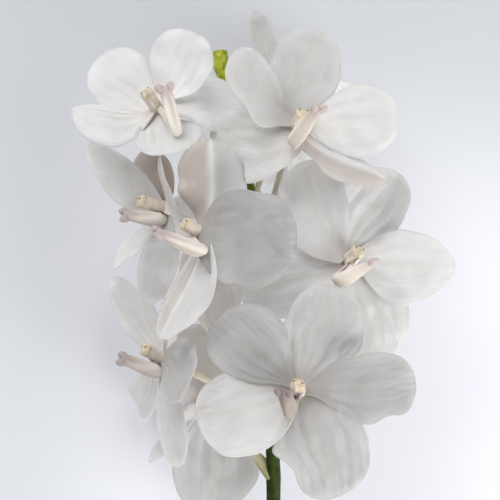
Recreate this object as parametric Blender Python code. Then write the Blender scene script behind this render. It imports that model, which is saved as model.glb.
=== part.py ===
"""Cut spike of a white vanda orchid, lying on a surface with its flowers up.

Nine open flowers stand round one stem that ends in a green growing tip. Each
flower has three sepals, two petals and a lip, and each of those is a piece of
its own. The stem grew as one piece with the flower stalks and the columns that
they end in. +Y runs along the stem towards its tip and +Z is up.
"""

from dataclasses import dataclass
from math import cos, pi, radians, sin

import bmesh
import bpy
import numpy as np

MM = 0.001  # every size and place below is in millimetres

# Sepals and petals
TEPAL_THICKNESS = 0.8
RING_RADIUS = 2.9  # from the flower's axis to the foot of each sepal and petal
SEPAL_SET = -1.3  # along the flower's axis: the sepals sit behind the petals
PETAL_SET = 0.8
SEPAL_CLAW = 1.9  # half width of the narrow foot
PETAL_CLAW = 1.7
LENGTH_STEPS = 8
WIDTH_STEPS = 4
TIP_END = 0.992  # share of the length where the outline is closed off
TIP_CROWDING = 1.5  # above 1, the rings of points stand closer towards the tip
BOW_AT = 0.68  # share of the length that the bow lifts most
FACE_FROM = 0.5  # share of the length from which the blade looks its own way
CUP = 0.06  # rise of the margins, as a share of the half width
SIDE_CROWDING = 0.9
CLAW_CURVE = 1.35
PETAL_RISE = 1.15  # how slowly the blade opens out of the claw
SEPAL_RISE = 1.0
PETAL_WIDEST = 0.62
SEPAL_WIDEST = 0.58
FOLD_RATE = 1.8  # the fold along the midrib is full at 1 / FOLD_RATE of the length
FOLD_ROUNDING = 0.1

# Stem, flower stalks and columns
STEM_RADII = (3.3, 3.3, 3.2, 3.1, 3.0, 2.8, 2.5, 2.2, 1.9, 1.7)
STEM_PATH = (
    (6.5, -178.5, 3.2),
    (5.5, -108, 20),
    (4.5, -58, 41),
    (4, -27, 52),
    (1.5, 12.5, 59),
    (-2, 58.5, 62),
    (-7, 96.5, 57),
    (-13.8, 127.5, 50),
    (-18.2, 138, 47.3),
    (-19.3, 145.5, 46.4),
)
STEM_SIDES = 12
STEM_STEPS = 3  # rings between two points of the path
STALK_RADIUS = 1.6
STALK_STEPS = 10
STALK_SIDES = 10
STALK_LEAD = 18.0  # how far behind the heart the stalk turns to the axis
STALK_INSIDE = 1.5  # how far it ends inside the heart
HEART_RADIUS = 2.5  # swollen end of the stalk that carries sepals, petals and lip
HEART_BACK = 2.6
HEART_FRONT = 1.4
HEART_SHOULDER = 0.7  # share of its back part where it is full
COLUMN_WIDEST = 0.6  # share of the column's length where it is widest
END_STEP = 0.2  # the column's two ends against the stalk and its widest place
COLUMN_NECK = 1.9
COLUMN_RADIUS = 2.3

# Lip
LIP_FOOT_DROP = 3.4  # below the flower's axis
LIP_FOOT_SET = 1.6  # along it
LIP_SIDES = 10
LIP_RADII = (0.8, 1.8, 2.8, 2.9, 2.3, 2.6)
LIP_BEND = 0.55  # share of the way from foot to belly where it bends
LIP_SHARES = (0, 0.4, 0.75, 1)  # its rings between belly and tip

# Growing tip
BUD_GAP = 0.3
BUD_LENGTH = 14.0
BUD_RADII = (1.4, 2.2, 3.1, 3.7, 3.6, 2.4)
BUD_LEAN = (-0.1, 0.99, -0.08)


@dataclass(frozen=True)
class Tepal:
    """One sepal or petal.

    turn is the angle of its foot round the flower's axis, from the upper side
    and clockwise as the flower looks at you. left and right are its half
    widths, looking at its face with the tip up. face is the way that its outer
    half looks, bow lifts its middle towards that side and keel folds it along
    its midrib.
    """

    name: str
    turn: float
    tip: tuple
    left: float
    right: float
    face: tuple
    bow: float = 0.0
    reach: float = 0.3
    keel: float = 0.0
    end: float = 2.2
    widest: float = 0.0
    widest_left: float = 0.0

    @property
    def is_petal(self):
        return self.name.endswith("petal")


@dataclass(frozen=True)
class Flower:
    """One flower: where its parts meet, the way it looks, and its stalk and lip."""

    name: str
    heart: tuple
    faces: tuple
    upper: tuple
    joins_at: float
    sweep: tuple
    column: float
    lip_belly: tuple
    lip_tip: tuple
    tepals: tuple


FLOWERS = (
    Flower(
        name="flower_1", heart=(-48, 130.5, 78), faces=(-0.45, 0.72, 0.53), upper=(-0.6, 0.7, 0),
        joins_at=106.5, sweep=(-27.5, 113.5, 48), column=10,
        lip_belly=(-39, 120.5, 93), lip_tip=(-44, 139, 101),
        tepals=(
            Tepal("dorsal_sepal", 0, (-76, 154, 66), 15, 15, (-0.1, 0.25, 0.96), bow=2, widest=0.6),
            Tepal("left_petal", -82, (-86, 130, 80), 15, 5, (-0.1, 0.45, 0.85), end=1.6, widest=0.52),
            Tepal("right_petal", 72, (-29, 164, 78), 17, 13, (-0.1, 0.25, 0.96), bow=2),
            Tepal("left_sepal", -145, (-46.5, 109, 95), 19, 11, (-0.1, 0.72, 0.65)),
            Tepal("right_sepal", 135, (-12, 138.5, 54), 14, 16, (0, 0.3, 0.95)),
        ),
    ),
    Flower(
        name="flower_2", heart=(14, 122.5, 88), faces=(0.36, 0.62, 0.7), upper=(0.1, 1, 0),
        joins_at=72, sweep=(8.5, 97, 62), column=8.5,
        lip_belly=(13, 115.5, 101), lip_tip=(23.5, 129, 112),
        tepals=(
            Tepal("dorsal_sepal", 0, (22, 166, 80), 15, 17.5, (0, 0.1, 0.99), bow=2),
            Tepal(
                "left_petal", -68, (-13.5, 156, 98), 13, 9.5, (0.25, 0.2, 0.94),
                bow=2, widest=0.55, widest_left=0.5,
            ),
            Tepal("right_petal", 80, (59, 125, 96), 17, 17, (0.05, 0.15, 0.98), bow=2),
            Tepal("left_sepal", -132, (-24.5, 118.5, 80), 21, 14, (-0.05, 0.15, 0.98), bow=1, widest=0.55),
            Tepal(
                "right_sepal", 152, (54, 98.5, 96), 5, 9, (0.05, 0.3, 0.95),
                bow=3, reach=0.42, keel=-0.9,
            ),
        ),
    ),
    Flower(
        name="flower_3", heart=(-44.5, 86.5, 76), faces=(-0.93, 0.22, 0.3), upper=(0, 1, 0),
        joins_at=79, sweep=(-24, 82, 38), column=12,
        lip_belly=(-46.5, 81, 80), lip_tip=(-63, 83, 84),
        tepals=(
            Tepal("dorsal_sepal", -4, (-54.5, 115, 54), 16, 7, (-0.55, 0.1, 0.8), bow=2),
            Tepal("left_petal", -74, (-79, 115.5, 72), 13, 6.5, (-0.3, 0.15, 0.93), bow=1),
            Tepal("right_petal", 94, (-12, 88, 73), 6.5, 6, (-0.3, 0, 0.95)),
            Tepal("left_sepal", -130, (-69, 60, 60), 12, 12, (-0.78, 0.62, 0.35), bow=1),
            Tepal("right_sepal", 142, (-50.5, 43.5, 87), 9, 10, (-0.35, 0, 0.93)),
        ),
    ),
    Flower(
        name="flower_4", heart=(-28.5, 75.5, 102), faces=(-0.75, 0.38, 0.54), upper=(0, 1, 0),
        joins_at=44.5, sweep=(-13.5, 62, 66), column=8.5,
        lip_belly=(-28, 67.5, 113), lip_tip=(-46.5, 75, 122),
        tepals=(
            Tepal("dorsal_sepal", 8, (-24, 116.5, 98), 15, 16.5, (0.05, 0.05, 0.98), bow=3, keel=-0.45),
            Tepal("left_petal", -91, (-46.5, 109.5, 88), 8, 8.5, (-0.98, 0, 0.15), bow=5),
            Tepal("right_petal", 82, (14, 72, 112), 19.5, 23, (-0.1, 0.05, 0.98), bow=2, widest=0.5),
            Tepal("left_sepal", -136, (-23, 28.5, 61), 18, 6, (-0.1, 0, 0.98), bow=-3),
            Tepal("right_sepal", 150, (-46, 29, 108), 15, 6, (-0.2, 0.1, 0.97), widest=0.5),
        ),
    ),
    Flower(
        name="flower_5", heart=(37, 63, 84), faces=(0.55, 0.46, 0.7), upper=(0.35, 0.9, 0),
        joins_at=28.5, sweep=(25.5, 39, 60), column=8.5,
        lip_belly=(32.5, 54.5, 98), lip_tip=(48, 62.5, 102),
        tepals=(
            Tepal("dorsal_sepal", 0, (60.5, 102, 72), 16, 13.5, (0.1, 0.05, 0.98), bow=1),
            Tepal("left_petal", -72, (17, 108, 76), 17, 16, (0.1, 0.1, 0.98), bow=1, widest_left=0.48),
            Tepal(
                "right_petal", 78, (85.5, 59.5, 80), 16, 18.5, (0.2, 0.1, 0.97),
                bow=3, widest=0.5, end=1.6,
            ),
            Tepal("left_sepal", -138, (-12, 49, 84), 17, 17, (0.1, 0.05, 0.98), bow=-2),
            Tepal("right_sepal", 138, (52.5, 16.5, 78), 17, 15, (0.1, 0, 0.98), bow=-1, widest_left=0.5),
        ),
    ),
    Flower(
        name="flower_6", heart=(-45.5, 18.5, 76), faces=(-0.82, 0.42, 0.39), upper=(0, 1, 0),
        joins_at=-3.5, sweep=(-22.5, 5.5, 56), column=10,
        lip_belly=(-48, 13, 82), lip_tip=(-64, 19, 84),
        tepals=(
            Tepal("dorsal_sepal", 8, (-44, 52, 58), 13, 13, (-0.98, -0.05, 0.15), bow=5),
            Tepal("left_petal", -58, (-68.5, 54, 60), 9, 9, (-0.35, 0.1, 0.93), bow=1, widest=0.55),
            Tepal("right_petal", 95, (-35, 4, 114), 17, 9, (-0.75, 0.3, 0.55), bow=3),
            Tepal("left_sepal", -130, (-56, -9.5, 56), 6, 10, (-0.6, -0.1, 0.8)),
            Tepal("right_sepal", 142, (-38.5, -29, 90), 7, 7, (-0.45, 0, 0.9), widest=0.62),
        ),
    ),
    Flower(
        name="flower_7", heart=(15, 6, 106), faces=(-0.12, 0.34, 0.93), upper=(0.25, 0.95, 0),
        joins_at=-19.5, sweep=(9, -11, 78), column=8.5,
        lip_belly=(11, -2.5, 112), lip_tip=(8, 6.5, 124),
        tepals=(
            Tepal("dorsal_sepal", 0, (29, 52.5, 104), 15, 20, (0, 0.05, 1), bow=1),
            Tepal("left_petal", -68, (-22.5, 36.5, 108), 14, 20, (0, 0.05, 1), bow=3),
            Tepal("right_petal", 76, (66, 9, 106), 17, 17, (0.05, 0.05, 1), bow=3),
            Tepal("left_sepal", -132, (-30.5, -6.5, 106), 20.5, 17, (0, 0.05, 1)),
            Tepal("right_sepal", 147, (30, -41.5, 104), 22, 14.5, (0, 0.05, 1), bow=2),
        ),
    ),
    Flower(
        name="flower_8", heart=(-27.5, -2, 42), faces=(-0.35, 0.1, -0.93), upper=(0.2, 0.95, 0),
        joins_at=-37, sweep=(-4, -27.5, 46), column=8.5,
        lip_belly=(-28, -9.5, 34), lip_tip=(-31, -2, 20),
        tepals=(
            Tepal("dorsal_sepal", 0, (-35, 32.5, 36), 16, 15, (-0.2, 0, -0.97)),
            Tepal("left_petal", -75, (13, 2, 0.5), 17, 17, (-0.2, 0, -0.97), bow=-4),
            Tepal("right_petal", 75, (-56, -1, 1), 13, 13, (-0.4, 0, -0.9), bow=-4),
            Tepal("left_sepal", -140, (-24.5, -55.5, 32), 20, 21, (-0.1, 0, -0.97)),
            Tepal("right_sepal", 140, (-54.5, -34.5, 8), 4, 4, (-0.2, 0, -0.97)),
        ),
    ),
    Flower(
        name="flower_9", heart=(9.5, 132.5, 42), faces=(0.2, 0.1, -0.97), upper=(-0.2, 0.95, 0),
        joins_at=88, sweep=(0, 103.5, 50), column=8.5,
        lip_belly=(9, 126, 30), lip_tip=(11, 138.5, 20),
        tepals=(
            Tepal("dorsal_sepal", 0, (-4.5, 178.5, 44), 6.5, 5.5, (0.1, 0.1, -0.99), widest=0.68),
            Tepal("left_petal", -75, (42, 134, 1), 13, 13, (0.1, 0.1, -0.99), bow=-4),
            Tepal("right_petal", 75, (-30.5, 128, 0.5), 13, 13, (0.1, 0.1, -0.99), bow=-4),
            Tepal("left_sepal", -140, (30, 96.5, 1), 15, 15, (0.1, 0.1, -0.99), bow=-4),
            Tepal("right_sepal", 140, (-9, 98.5, 12), 13, 13, (0.1, 0.1, -0.99)),
        ),
    ),
)


def unit(vector):
    """The vector at length 1."""
    vector = np.asarray(vector, float)
    return vector / np.linalg.norm(vector)


def across(vector, axis):
    """The part of the vector that is square to the axis, at length 1."""
    vector = np.asarray(vector, float)
    return unit(vector - vector.dot(axis) * axis)


def bezier(p0, p1, p2, p3, steps):
    """Points and unit tangents of a cubic curve at the given shares of its length."""
    s = np.asarray(steps, float)[:, None]
    points = (1 - s) ** 3 * p0 + 3 * (1 - s) ** 2 * s * p1 + 3 * (1 - s) * s**2 * p2 + s**3 * p3
    tangents = (1 - s) ** 2 * (p1 - p0) + 2 * (1 - s) * s * (p2 - p1) + s**2 * (p3 - p2)
    return points, tangents / np.linalg.norm(tangents, axis=1, keepdims=True)


def smooth_path(points, steps):
    """A path through the points, with that many pieces between each two of them."""
    points = np.asarray(points, float)
    ends = np.vstack([2 * points[0] - points[1], points, 2 * points[-1] - points[-2]])
    path = []
    for a, b, c, d in zip(ends, ends[1:], ends[2:], ends[3:]):
        path += list(bezier(b, b + (c - a) / 6, c - (d - b) / 6, c, np.arange(steps) / steps)[0])
    return np.array(path + [points[-1]])


def new_object(name, bm, material):
    """Adds the mesh to the scene, in metres, with its faces turned outwards."""
    bmesh.ops.recalc_face_normals(bm, faces=bm.faces)
    bmesh.ops.scale(bm, vec=(MM, MM, MM), verts=bm.verts)
    mesh = bpy.data.meshes.new(name)
    bm.to_mesh(mesh)
    bm.free()
    mesh.shade_smooth()
    mesh.materials.append(material)
    obj = bpy.data.objects.new(name, mesh)
    bpy.context.scene.collection.objects.link(obj)
    return obj


def tube(path, radii, sides):
    """A closed tube of round rings along the path, with flat ends."""
    path = np.asarray(path, float)
    tangents = np.gradient(path, axis=0)
    side = unit(np.cross(tangents[0], (0.31, 0.22, 0.92)))
    bm = bmesh.new()
    rings = []
    for centre, tangent, radius in zip(path, tangents, radii):
        side = across(side, unit(tangent))
        other = np.cross(unit(tangent), side)
        turns = (2 * pi * i / sides for i in range(sides))
        rings.append([bm.verts.new(centre + radius * (cos(t) * side + sin(t) * other)) for t in turns])
    for lower, upper in zip(rings, rings[1:]):
        for i in range(sides):
            j = (i + 1) % sides
            bm.faces.new((lower[i], lower[j], upper[j], upper[i]))
    bm.faces.new(rings[0])
    bm.faces.new(rings[-1])
    return bm


def half_width(s, most, claw, widest, rise, end):
    """Half width of a sepal or petal at each share s of its length: claw, blade, round tip."""
    grow = np.sin(pi / 2 * np.clip(s / widest, 0, 1) ** rise) ** CLAW_CURVE
    blade = claw + (most - claw) * grow
    past = np.clip((s - widest) / (1 - widest), 0, 1)
    return np.where(s <= widest, blade, most * np.sqrt(1 - past**end))


def tepal_surface(flower, tepal):
    """Middle surface of a sepal or petal, as a grid of points from foot to tip."""
    axis = unit(flower.faces)
    upper = across(flower.upper, axis)
    turn = radians(tepal.turn)
    out = cos(turn) * upper + sin(turn) * np.cross(upper, axis)
    along = PETAL_SET if tepal.is_petal else SEPAL_SET
    foot = np.array(flower.heart) + out * RING_RADIUS + axis * along
    tip = np.array(tepal.tip, float)
    face = unit(tepal.face)
    first = foot + out * tepal.reach * np.linalg.norm(tip - foot)
    second = foot + (tip - foot) * BOW_AT + across(face, unit(tip - foot)) * tepal.bow
    s = 1 - (1 - np.linspace(0, 1, LENGTH_STEPS + 1)) ** TIP_CROWDING
    s[-1] = TIP_END
    midrib, tangents = bezier(foot, first, second, tip, s)
    blend = np.clip(s / FACE_FROM, 0, 1)
    blend = (blend**2 * (3 - 2 * blend))[:, None]
    looks = (1 - blend) * axis + blend * face
    looks -= (looks * tangents).sum(1, keepdims=True) * tangents
    looks /= np.linalg.norm(looks, axis=1, keepdims=True)
    sideways = np.cross(tangents, looks)
    claw = PETAL_CLAW if tepal.is_petal else SEPAL_CLAW
    widest = tepal.widest or (PETAL_WIDEST if tepal.is_petal else SEPAL_WIDEST)
    rise = PETAL_RISE if tepal.is_petal else SEPAL_RISE
    left = half_width(s, tepal.left, claw, tepal.widest_left or widest, rise, tepal.end)
    right = half_width(s, tepal.right, claw, widest, rise, tepal.end)
    v = np.linspace(-1, 1, WIDTH_STEPS + 1)
    v = np.sign(v) * np.abs(v) ** SIDE_CROWDING
    width = np.where(v[None, :] < 0, left[:, None], right[:, None])
    mean = (left + right)[:, None] / 2
    lift = CUP * mean * v**2
    fold = np.clip(FOLD_RATE * s, 0, 1)[:, None] * (np.sqrt(v**2 + FOLD_ROUNDING**2) - FOLD_ROUNDING)
    lift = (lift + tepal.keel * mean * fold)[..., None]
    return midrib[:, None] + (v * width)[..., None] * sideways[:, None] + lift * looks[:, None]


def sheet(points):
    """An open grid of faces over the points."""
    bm = bmesh.new()
    rows = [[bm.verts.new(point) for point in row] for row in points]
    for low, high in zip(rows, rows[1:]):
        for i in range(len(low) - 1):
            bm.faces.new((low[i], low[i + 1], high[i + 1], high[i]))
    return bm


def make_tepal(flower, tepal, material):
    """A sepal or petal: its middle surface made solid, half the thickness to each side."""
    obj = new_object(f"{flower.name}_{tepal.name}", sheet(tepal_surface(flower, tepal)), material)
    solid = obj.modifiers.new("thickness", "SOLIDIFY")
    solid.thickness = TEPAL_THICKNESS * MM
    solid.offset = 0.0


def make_lip(flower, material):
    """The lip: from below the column, out over its belly and forward to its knobbed tip."""
    axis = unit(flower.faces)
    foot = np.array(flower.heart) - across(flower.upper, axis) * LIP_FOOT_DROP + axis * LIP_FOOT_SET
    belly = np.array(flower.lip_belly, float)
    tip = np.array(flower.lip_tip, float)
    path = [foot, foot + (belly - foot) * LIP_BEND]
    path += [belly + (tip - belly) * share for share in LIP_SHARES]
    new_object(f"{flower.name}_lip", tube(path, LIP_RADII, LIP_SIDES), material)


def stalk_start(flower, path):
    """The point of the stem's axis that the flower's stalk grows from."""
    return np.array([np.interp(flower.joins_at, path[:, 1], path[:, i]) for i in range(3)])


def make_stalk(flower, path, material):
    """The flower's stalk, curving out of the stem to the back of its heart."""
    axis = unit(flower.faces)
    heart = np.array(flower.heart, float)
    start, sweep = stalk_start(flower, path), np.array(flower.sweep)
    ends = (start, sweep, heart - axis * STALK_LEAD, heart - axis * STALK_INSIDE)
    curve = bezier(*ends, np.linspace(0, 1, STALK_STEPS + 1))[0]
    return new_object(f"{flower.name}_stalk", tube(curve, [STALK_RADIUS] * len(curve), STALK_SIDES), material)


def make_column(flower, material):
    """The heart that the sepals and petals sit on, and the short column that rises from it."""
    axis = unit(flower.faces)
    shoulder = HEART_BACK * HEART_SHOULDER
    waist = flower.column * COLUMN_WIDEST
    stations = (-HEART_BACK, -shoulder, HEART_FRONT, 2 * HEART_FRONT, waist, flower.column)
    ends = (STALK_RADIUS + END_STEP, COLUMN_RADIUS - END_STEP)
    radii = (ends[0], HEART_RADIUS, HEART_RADIUS, COLUMN_NECK, COLUMN_RADIUS, ends[1])
    path = [np.array(flower.heart) + axis * station for station in stations]
    return new_object(f"{flower.name}_column", tube(path, radii, STALK_SIDES), material)


def make_stem(material):
    """The stem, joined with every stalk and column into one solid."""
    path = smooth_path(STEM_PATH, STEM_STEPS)
    shares = np.linspace(0, len(STEM_RADII) - 1, len(path))
    radii = np.interp(shares, range(len(STEM_RADII)), STEM_RADII)
    stem = new_object("stem", tube(path, radii, STEM_SIDES), material)
    for flower in FLOWERS:
        for branch in (make_stalk(flower, path, material), make_column(flower, material)):
            branch.hide_render = True
            branch.display_type = "WIRE"
            join = stem.modifiers.new(branch.name, "BOOLEAN")
            join.operation = "UNION"
            join.object = branch
    return stem


def make_growing_tip(material):
    """The blunt green tip, just past the end of the stem."""
    lean = unit(BUD_LEAN)
    start = np.array(STEM_PATH[-1]) + lean * BUD_GAP
    path = [start + lean * BUD_LENGTH * i / (len(BUD_RADII) - 1) for i in range(len(BUD_RADII))]
    new_object("growing_tip", tube(path, BUD_RADII, STALK_SIDES), material)


def make_material(name, colour, roughness):
    """A plain plant tissue of one colour."""
    material = bpy.data.materials.new(name)
    material.use_nodes = True
    shader = material.node_tree.nodes["Principled BSDF"]
    shader.inputs["Base Color"].default_value = (*colour, 1.0)
    shader.inputs["Roughness"].default_value = roughness
    shader.inputs["Metallic"].default_value = 0.0
    material.diffuse_color = (*colour, 1.0)
    return material


def main():
    for obj in list(bpy.data.objects):
        bpy.data.objects.remove(obj, do_unlink=True)
    white = make_material("petal", (0.75, 0.74, 0.72), 0.55)
    blush = make_material("lip", (0.62, 0.45, 0.45), 0.5)
    green = make_material("stem", (0.08, 0.16, 0.03), 0.5)
    lime = make_material("growing_tip", (0.42, 0.47, 0.04), 0.5)
    make_stem(green)
    make_growing_tip(lime)
    for flower in FLOWERS:
        make_lip(flower, blush)
        for tepal in flower.tepals:
            make_tepal(flower, tepal, white)


main()
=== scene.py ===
"""White vanda orchid: a cut flower spike lying on a pale surface with its flowers up.

Nine open flowers stand round one green stem. Each has three sepals, two petals, a
grooved lip with two knobs at its end, and a short column under a yellow anther cap.
The stem runs along +Y towards its growing tip and +Z is up.
"""

import logging
from dataclasses import dataclass
from enum import Enum
from math import atan, cos, pi, radians, sin, tau

import bpy
import numpy as np
from mathutils import Matrix

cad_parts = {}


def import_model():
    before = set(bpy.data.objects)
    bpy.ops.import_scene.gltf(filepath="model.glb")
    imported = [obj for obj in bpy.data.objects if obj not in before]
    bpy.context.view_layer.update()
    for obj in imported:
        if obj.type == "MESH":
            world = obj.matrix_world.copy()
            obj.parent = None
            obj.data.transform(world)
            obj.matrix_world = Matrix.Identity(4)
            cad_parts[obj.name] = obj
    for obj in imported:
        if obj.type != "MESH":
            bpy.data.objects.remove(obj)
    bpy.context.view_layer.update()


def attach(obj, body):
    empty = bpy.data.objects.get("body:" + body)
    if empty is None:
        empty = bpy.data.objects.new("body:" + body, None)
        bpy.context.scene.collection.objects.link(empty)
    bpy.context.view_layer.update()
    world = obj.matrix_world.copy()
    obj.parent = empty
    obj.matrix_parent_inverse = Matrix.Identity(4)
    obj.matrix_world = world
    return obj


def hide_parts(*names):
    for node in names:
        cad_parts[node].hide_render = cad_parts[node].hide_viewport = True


MM = 0.001  # every size and place below is in millimetres
BODY = "root"

# Sepals and petals
RING_RADIUS = 2.9  # from the flower's axis to the foot of each sepal and petal
FOOT_TUCK = 1.3  # how far each foot reaches in under the column
SEPAL_SET = -1.3  # along the flower's axis, as the sepals sit behind the petals
PETAL_SET = 0.8
SEPAL_CLAW = 1.9  # half width of the narrow foot
PETAL_CLAW = 1.7
SEPAL_WIDEST = 0.58  # share of the length where the blade is widest
PETAL_WIDEST = 0.62
ROWS = 60  # points along and across each of them
COLUMNS = 57
ROW_CROWDING = 1.7  # above 1, rows crowd towards the tip
COLUMN_CROWDING = 0.85  # below 1, columns crowd towards the margins
TIP_END = 0.9995  # share of the length where the last row stands
PULL_OF_FACE = 0.68  # share of the length where the bow is highest
FACE_FROM = 0.5  # share of the length by which it looks its own way
TUCK_UNTIL = 0.12  # share of the length by which it is out from under the column
SHADE_SEAM = 0.2  # half the width over which one half's painted shade turns into the other's
CUP = 0.12  # slope of the margin against the middle, in radians
CLAW_THICKNESS = 1.0
BLADE_THICKNESS = 0.62
MARGIN_THICKNESS = 0.24
VEINS_PER_SIDE = 6
VEIN_HEIGHT = 0.1
VEIN_STRAY = 0.03  # how far a vein strays, as a share of the half width
VEIN_STRAY_LENGTH = 14.0
VEIN_FADING = 0.35  # how much the height of a vein changes along it
VEIN_FADING_LENGTH = 9.0
FOLDS_PER_SIDE = 2.4
FOLD_HEIGHT = 0.016  # of the shallow folds along the blade, as a share of the half width
PUCKER_HEIGHT = 0.06  # of the fine puckers between the veins
PUCKER_LENGTH = 3.4
PUCKER_STRETCH = 2.2
RIPPLE_HEIGHT = 0.12  # of the soft wrinkles that run along the outer half
RIPPLE_LENGTH = 3.6
RIPPLE_STRETCH = 2.4
SWELL_HEIGHT = 0.272  # of the broad swells of the whole blade
SWELL_LENGTH = 15.0
MARGIN_UNEVEN = 0.022  # how far the outline strays, as a share of the half width
RUFFLE = 0.25  # slope of the waves along the margin, in radians
RUFFLE_WAVES = (1.6, 2.6)  # the fewest and the most along one margin
KEEL_ROUNDING = 0.12  # share of the half width over which a fold is rounded

# Rounded bodies
POLE_SHARE = 0.48  # how near a knob's end rings come to its poles, in half turns

# Stem and stalks
STEM_PATH = (
    (6.5, -178.5, 3.2), (5.5, -108, 20), (4.5, -58, 41), (4, -27, 52), (1.5, 12.5, 59),
    (-2, 58.5, 62), (-7, 96.5, 57), (-13.8, 127.5, 50), (-18.2, 138, 47.3), (-19.3, 145.5, 46.4),
)
STEM_RADII = (3.3, 3.3, 3.2, 3.1, 3.0, 2.8, 2.5, 2.2, 1.9, 1.7)  # at even steps along it
STALK_RADIUS = 1.6
STALK_LEAD = 18.0  # how far behind the heart the stalk turns to run along the axis
STALK_INSIDE = 1.5  # how far behind the heart it ends

Point = tuple[float, float, float]
Socket = bpy.types.NodeSocket


class Side(Enum):
    """A side of a sepal or petal, looking at its face with the tip up."""

    LEFT = -1
    RIGHT = 1


@dataclass(frozen=True)
class Notch:
    """A dip in the outline, or a bulge where depth is below zero.

    depth is a share of the half width, and at and span are shares of the length.
    """

    side: Side
    at: float
    span: float
    depth: float


@dataclass(frozen=True)
class Curl:
    """A margin that bends up, or down where degrees is below zero.

    start is the share of the half width where the bend begins.
    """

    side: Side
    at: float
    span: float
    degrees: float
    start: float = 0.45


def unit(vector: np.ndarray) -> np.ndarray:
    """The vector at length 1, or each of them where there are rows."""
    vector = np.asarray(vector, float)
    return vector / np.maximum(np.linalg.norm(vector, axis=-1, keepdims=True), 1e-9)


def across(vector: np.ndarray, axis: np.ndarray) -> np.ndarray:
    """The part of the vector that is square to the axis, at length 1."""
    vector = np.asarray(vector, float)
    return unit(vector - vector.dot(axis) * axis)


def smoothstep(low: float, high: float, value: np.ndarray) -> np.ndarray:
    """An S-shaped rise from 0 at low to 1 at high."""
    share = np.clip((np.asarray(value, float) - low) / (high - low), 0, 1)
    return share**2 * (3 - 2 * share)


def bell(value: np.ndarray, middle: float, span: float) -> np.ndarray:
    """A bell-shaped hump, 1 in the middle and falling off over the span."""
    return np.exp(-(((value - middle) / span) ** 2))


def between(values: tuple, share: np.ndarray) -> np.ndarray:
    """Evenly spaced values, read at some shares of the way from the first to the last."""
    return np.interp(share * (len(values) - 1), range(len(values)), values)


def round_turns(sides: int) -> np.ndarray:
    """The angles of that many points round a ring, as one row."""
    return np.linspace(0, tau, sides, endpoint=False)[None, :]


def grid_places(
    over: np.ndarray, along: np.ndarray, shaded: np.ndarray | float = 0.0
) -> np.ndarray:
    """The place on the piece of every point of a grid.

    Args:
        over: the place across it of each column.
        along: the place along it of each row.
        shaded: how shaded it is, in each column or in all.

    Returns:
        Those three numbers for each point.
    """
    return np.stack(np.broadcast_arrays(over[None, :], along[:, None], shaded), -1)


def bezier(ends: tuple, steps: np.ndarray) -> tuple[np.ndarray, np.ndarray]:
    """A cubic curve.

    Args:
        ends: its four control points.
        steps: shares of its length.

    Returns:
        The points at those shares, and the unit tangents there.
    """
    p0, p1, p2, p3 = (np.asarray(p, float) for p in ends)
    s = np.asarray(steps, float)[:, None]
    points = (1 - s) ** 3 * p0 + 3 * (1 - s) ** 2 * s * p1 + 3 * (1 - s) * s**2 * p2 + s**3 * p3
    tangents = (1 - s) ** 2 * (p1 - p0) + 2 * (1 - s) * s * (p2 - p1) + s**2 * (p3 - p2)
    return points, unit(tangents)


def smooth_path(points: tuple, steps: int) -> np.ndarray:
    """A smooth path.

    Args:
        points: the points that it goes through.
        steps: its pieces between each two of them.

    Returns:
        The points of the path.
    """
    points = np.asarray(points, float)
    ends = np.vstack([2 * points[0] - points[1], points, 2 * points[-1] - points[-2]])
    path = []
    for a, b, c, d in zip(ends, ends[1:], ends[2:], ends[3:]):
        path += list(bezier((b, b + (c - a) / 6, c - (d - b) / 6, c), np.arange(steps) / steps)[0])
    return np.array(path + [points[-1]])


@dataclass(frozen=True)
class Relief:
    """Soft random relief, made of plane waves whose mean length is about length."""

    seed: int
    length: float
    height: float
    stretch: float = 1.0  # how much longer the waves are along the piece
    waves: int = 11

    def at(self, over: np.ndarray, along: np.ndarray) -> np.ndarray:
        """The relief at some places.

        Args:
            over: where they are across the piece, in millimetres.
            along: where they are along it.

        Returns:
            The height at each.
        """
        rng = np.random.default_rng(self.seed)
        total = np.zeros(np.broadcast(over, along).shape)
        for _ in range(self.waves):
            heading, length, phase = rng.uniform(0, pi), rng.uniform(0.7, 1.5), rng.uniform(0, tau)
            run = over * cos(heading) + along * sin(heading) / self.stretch
            total = total + np.sin(tau * run / (length * self.length) + phase)
        return self.height * total / np.sqrt(self.waves)


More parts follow.
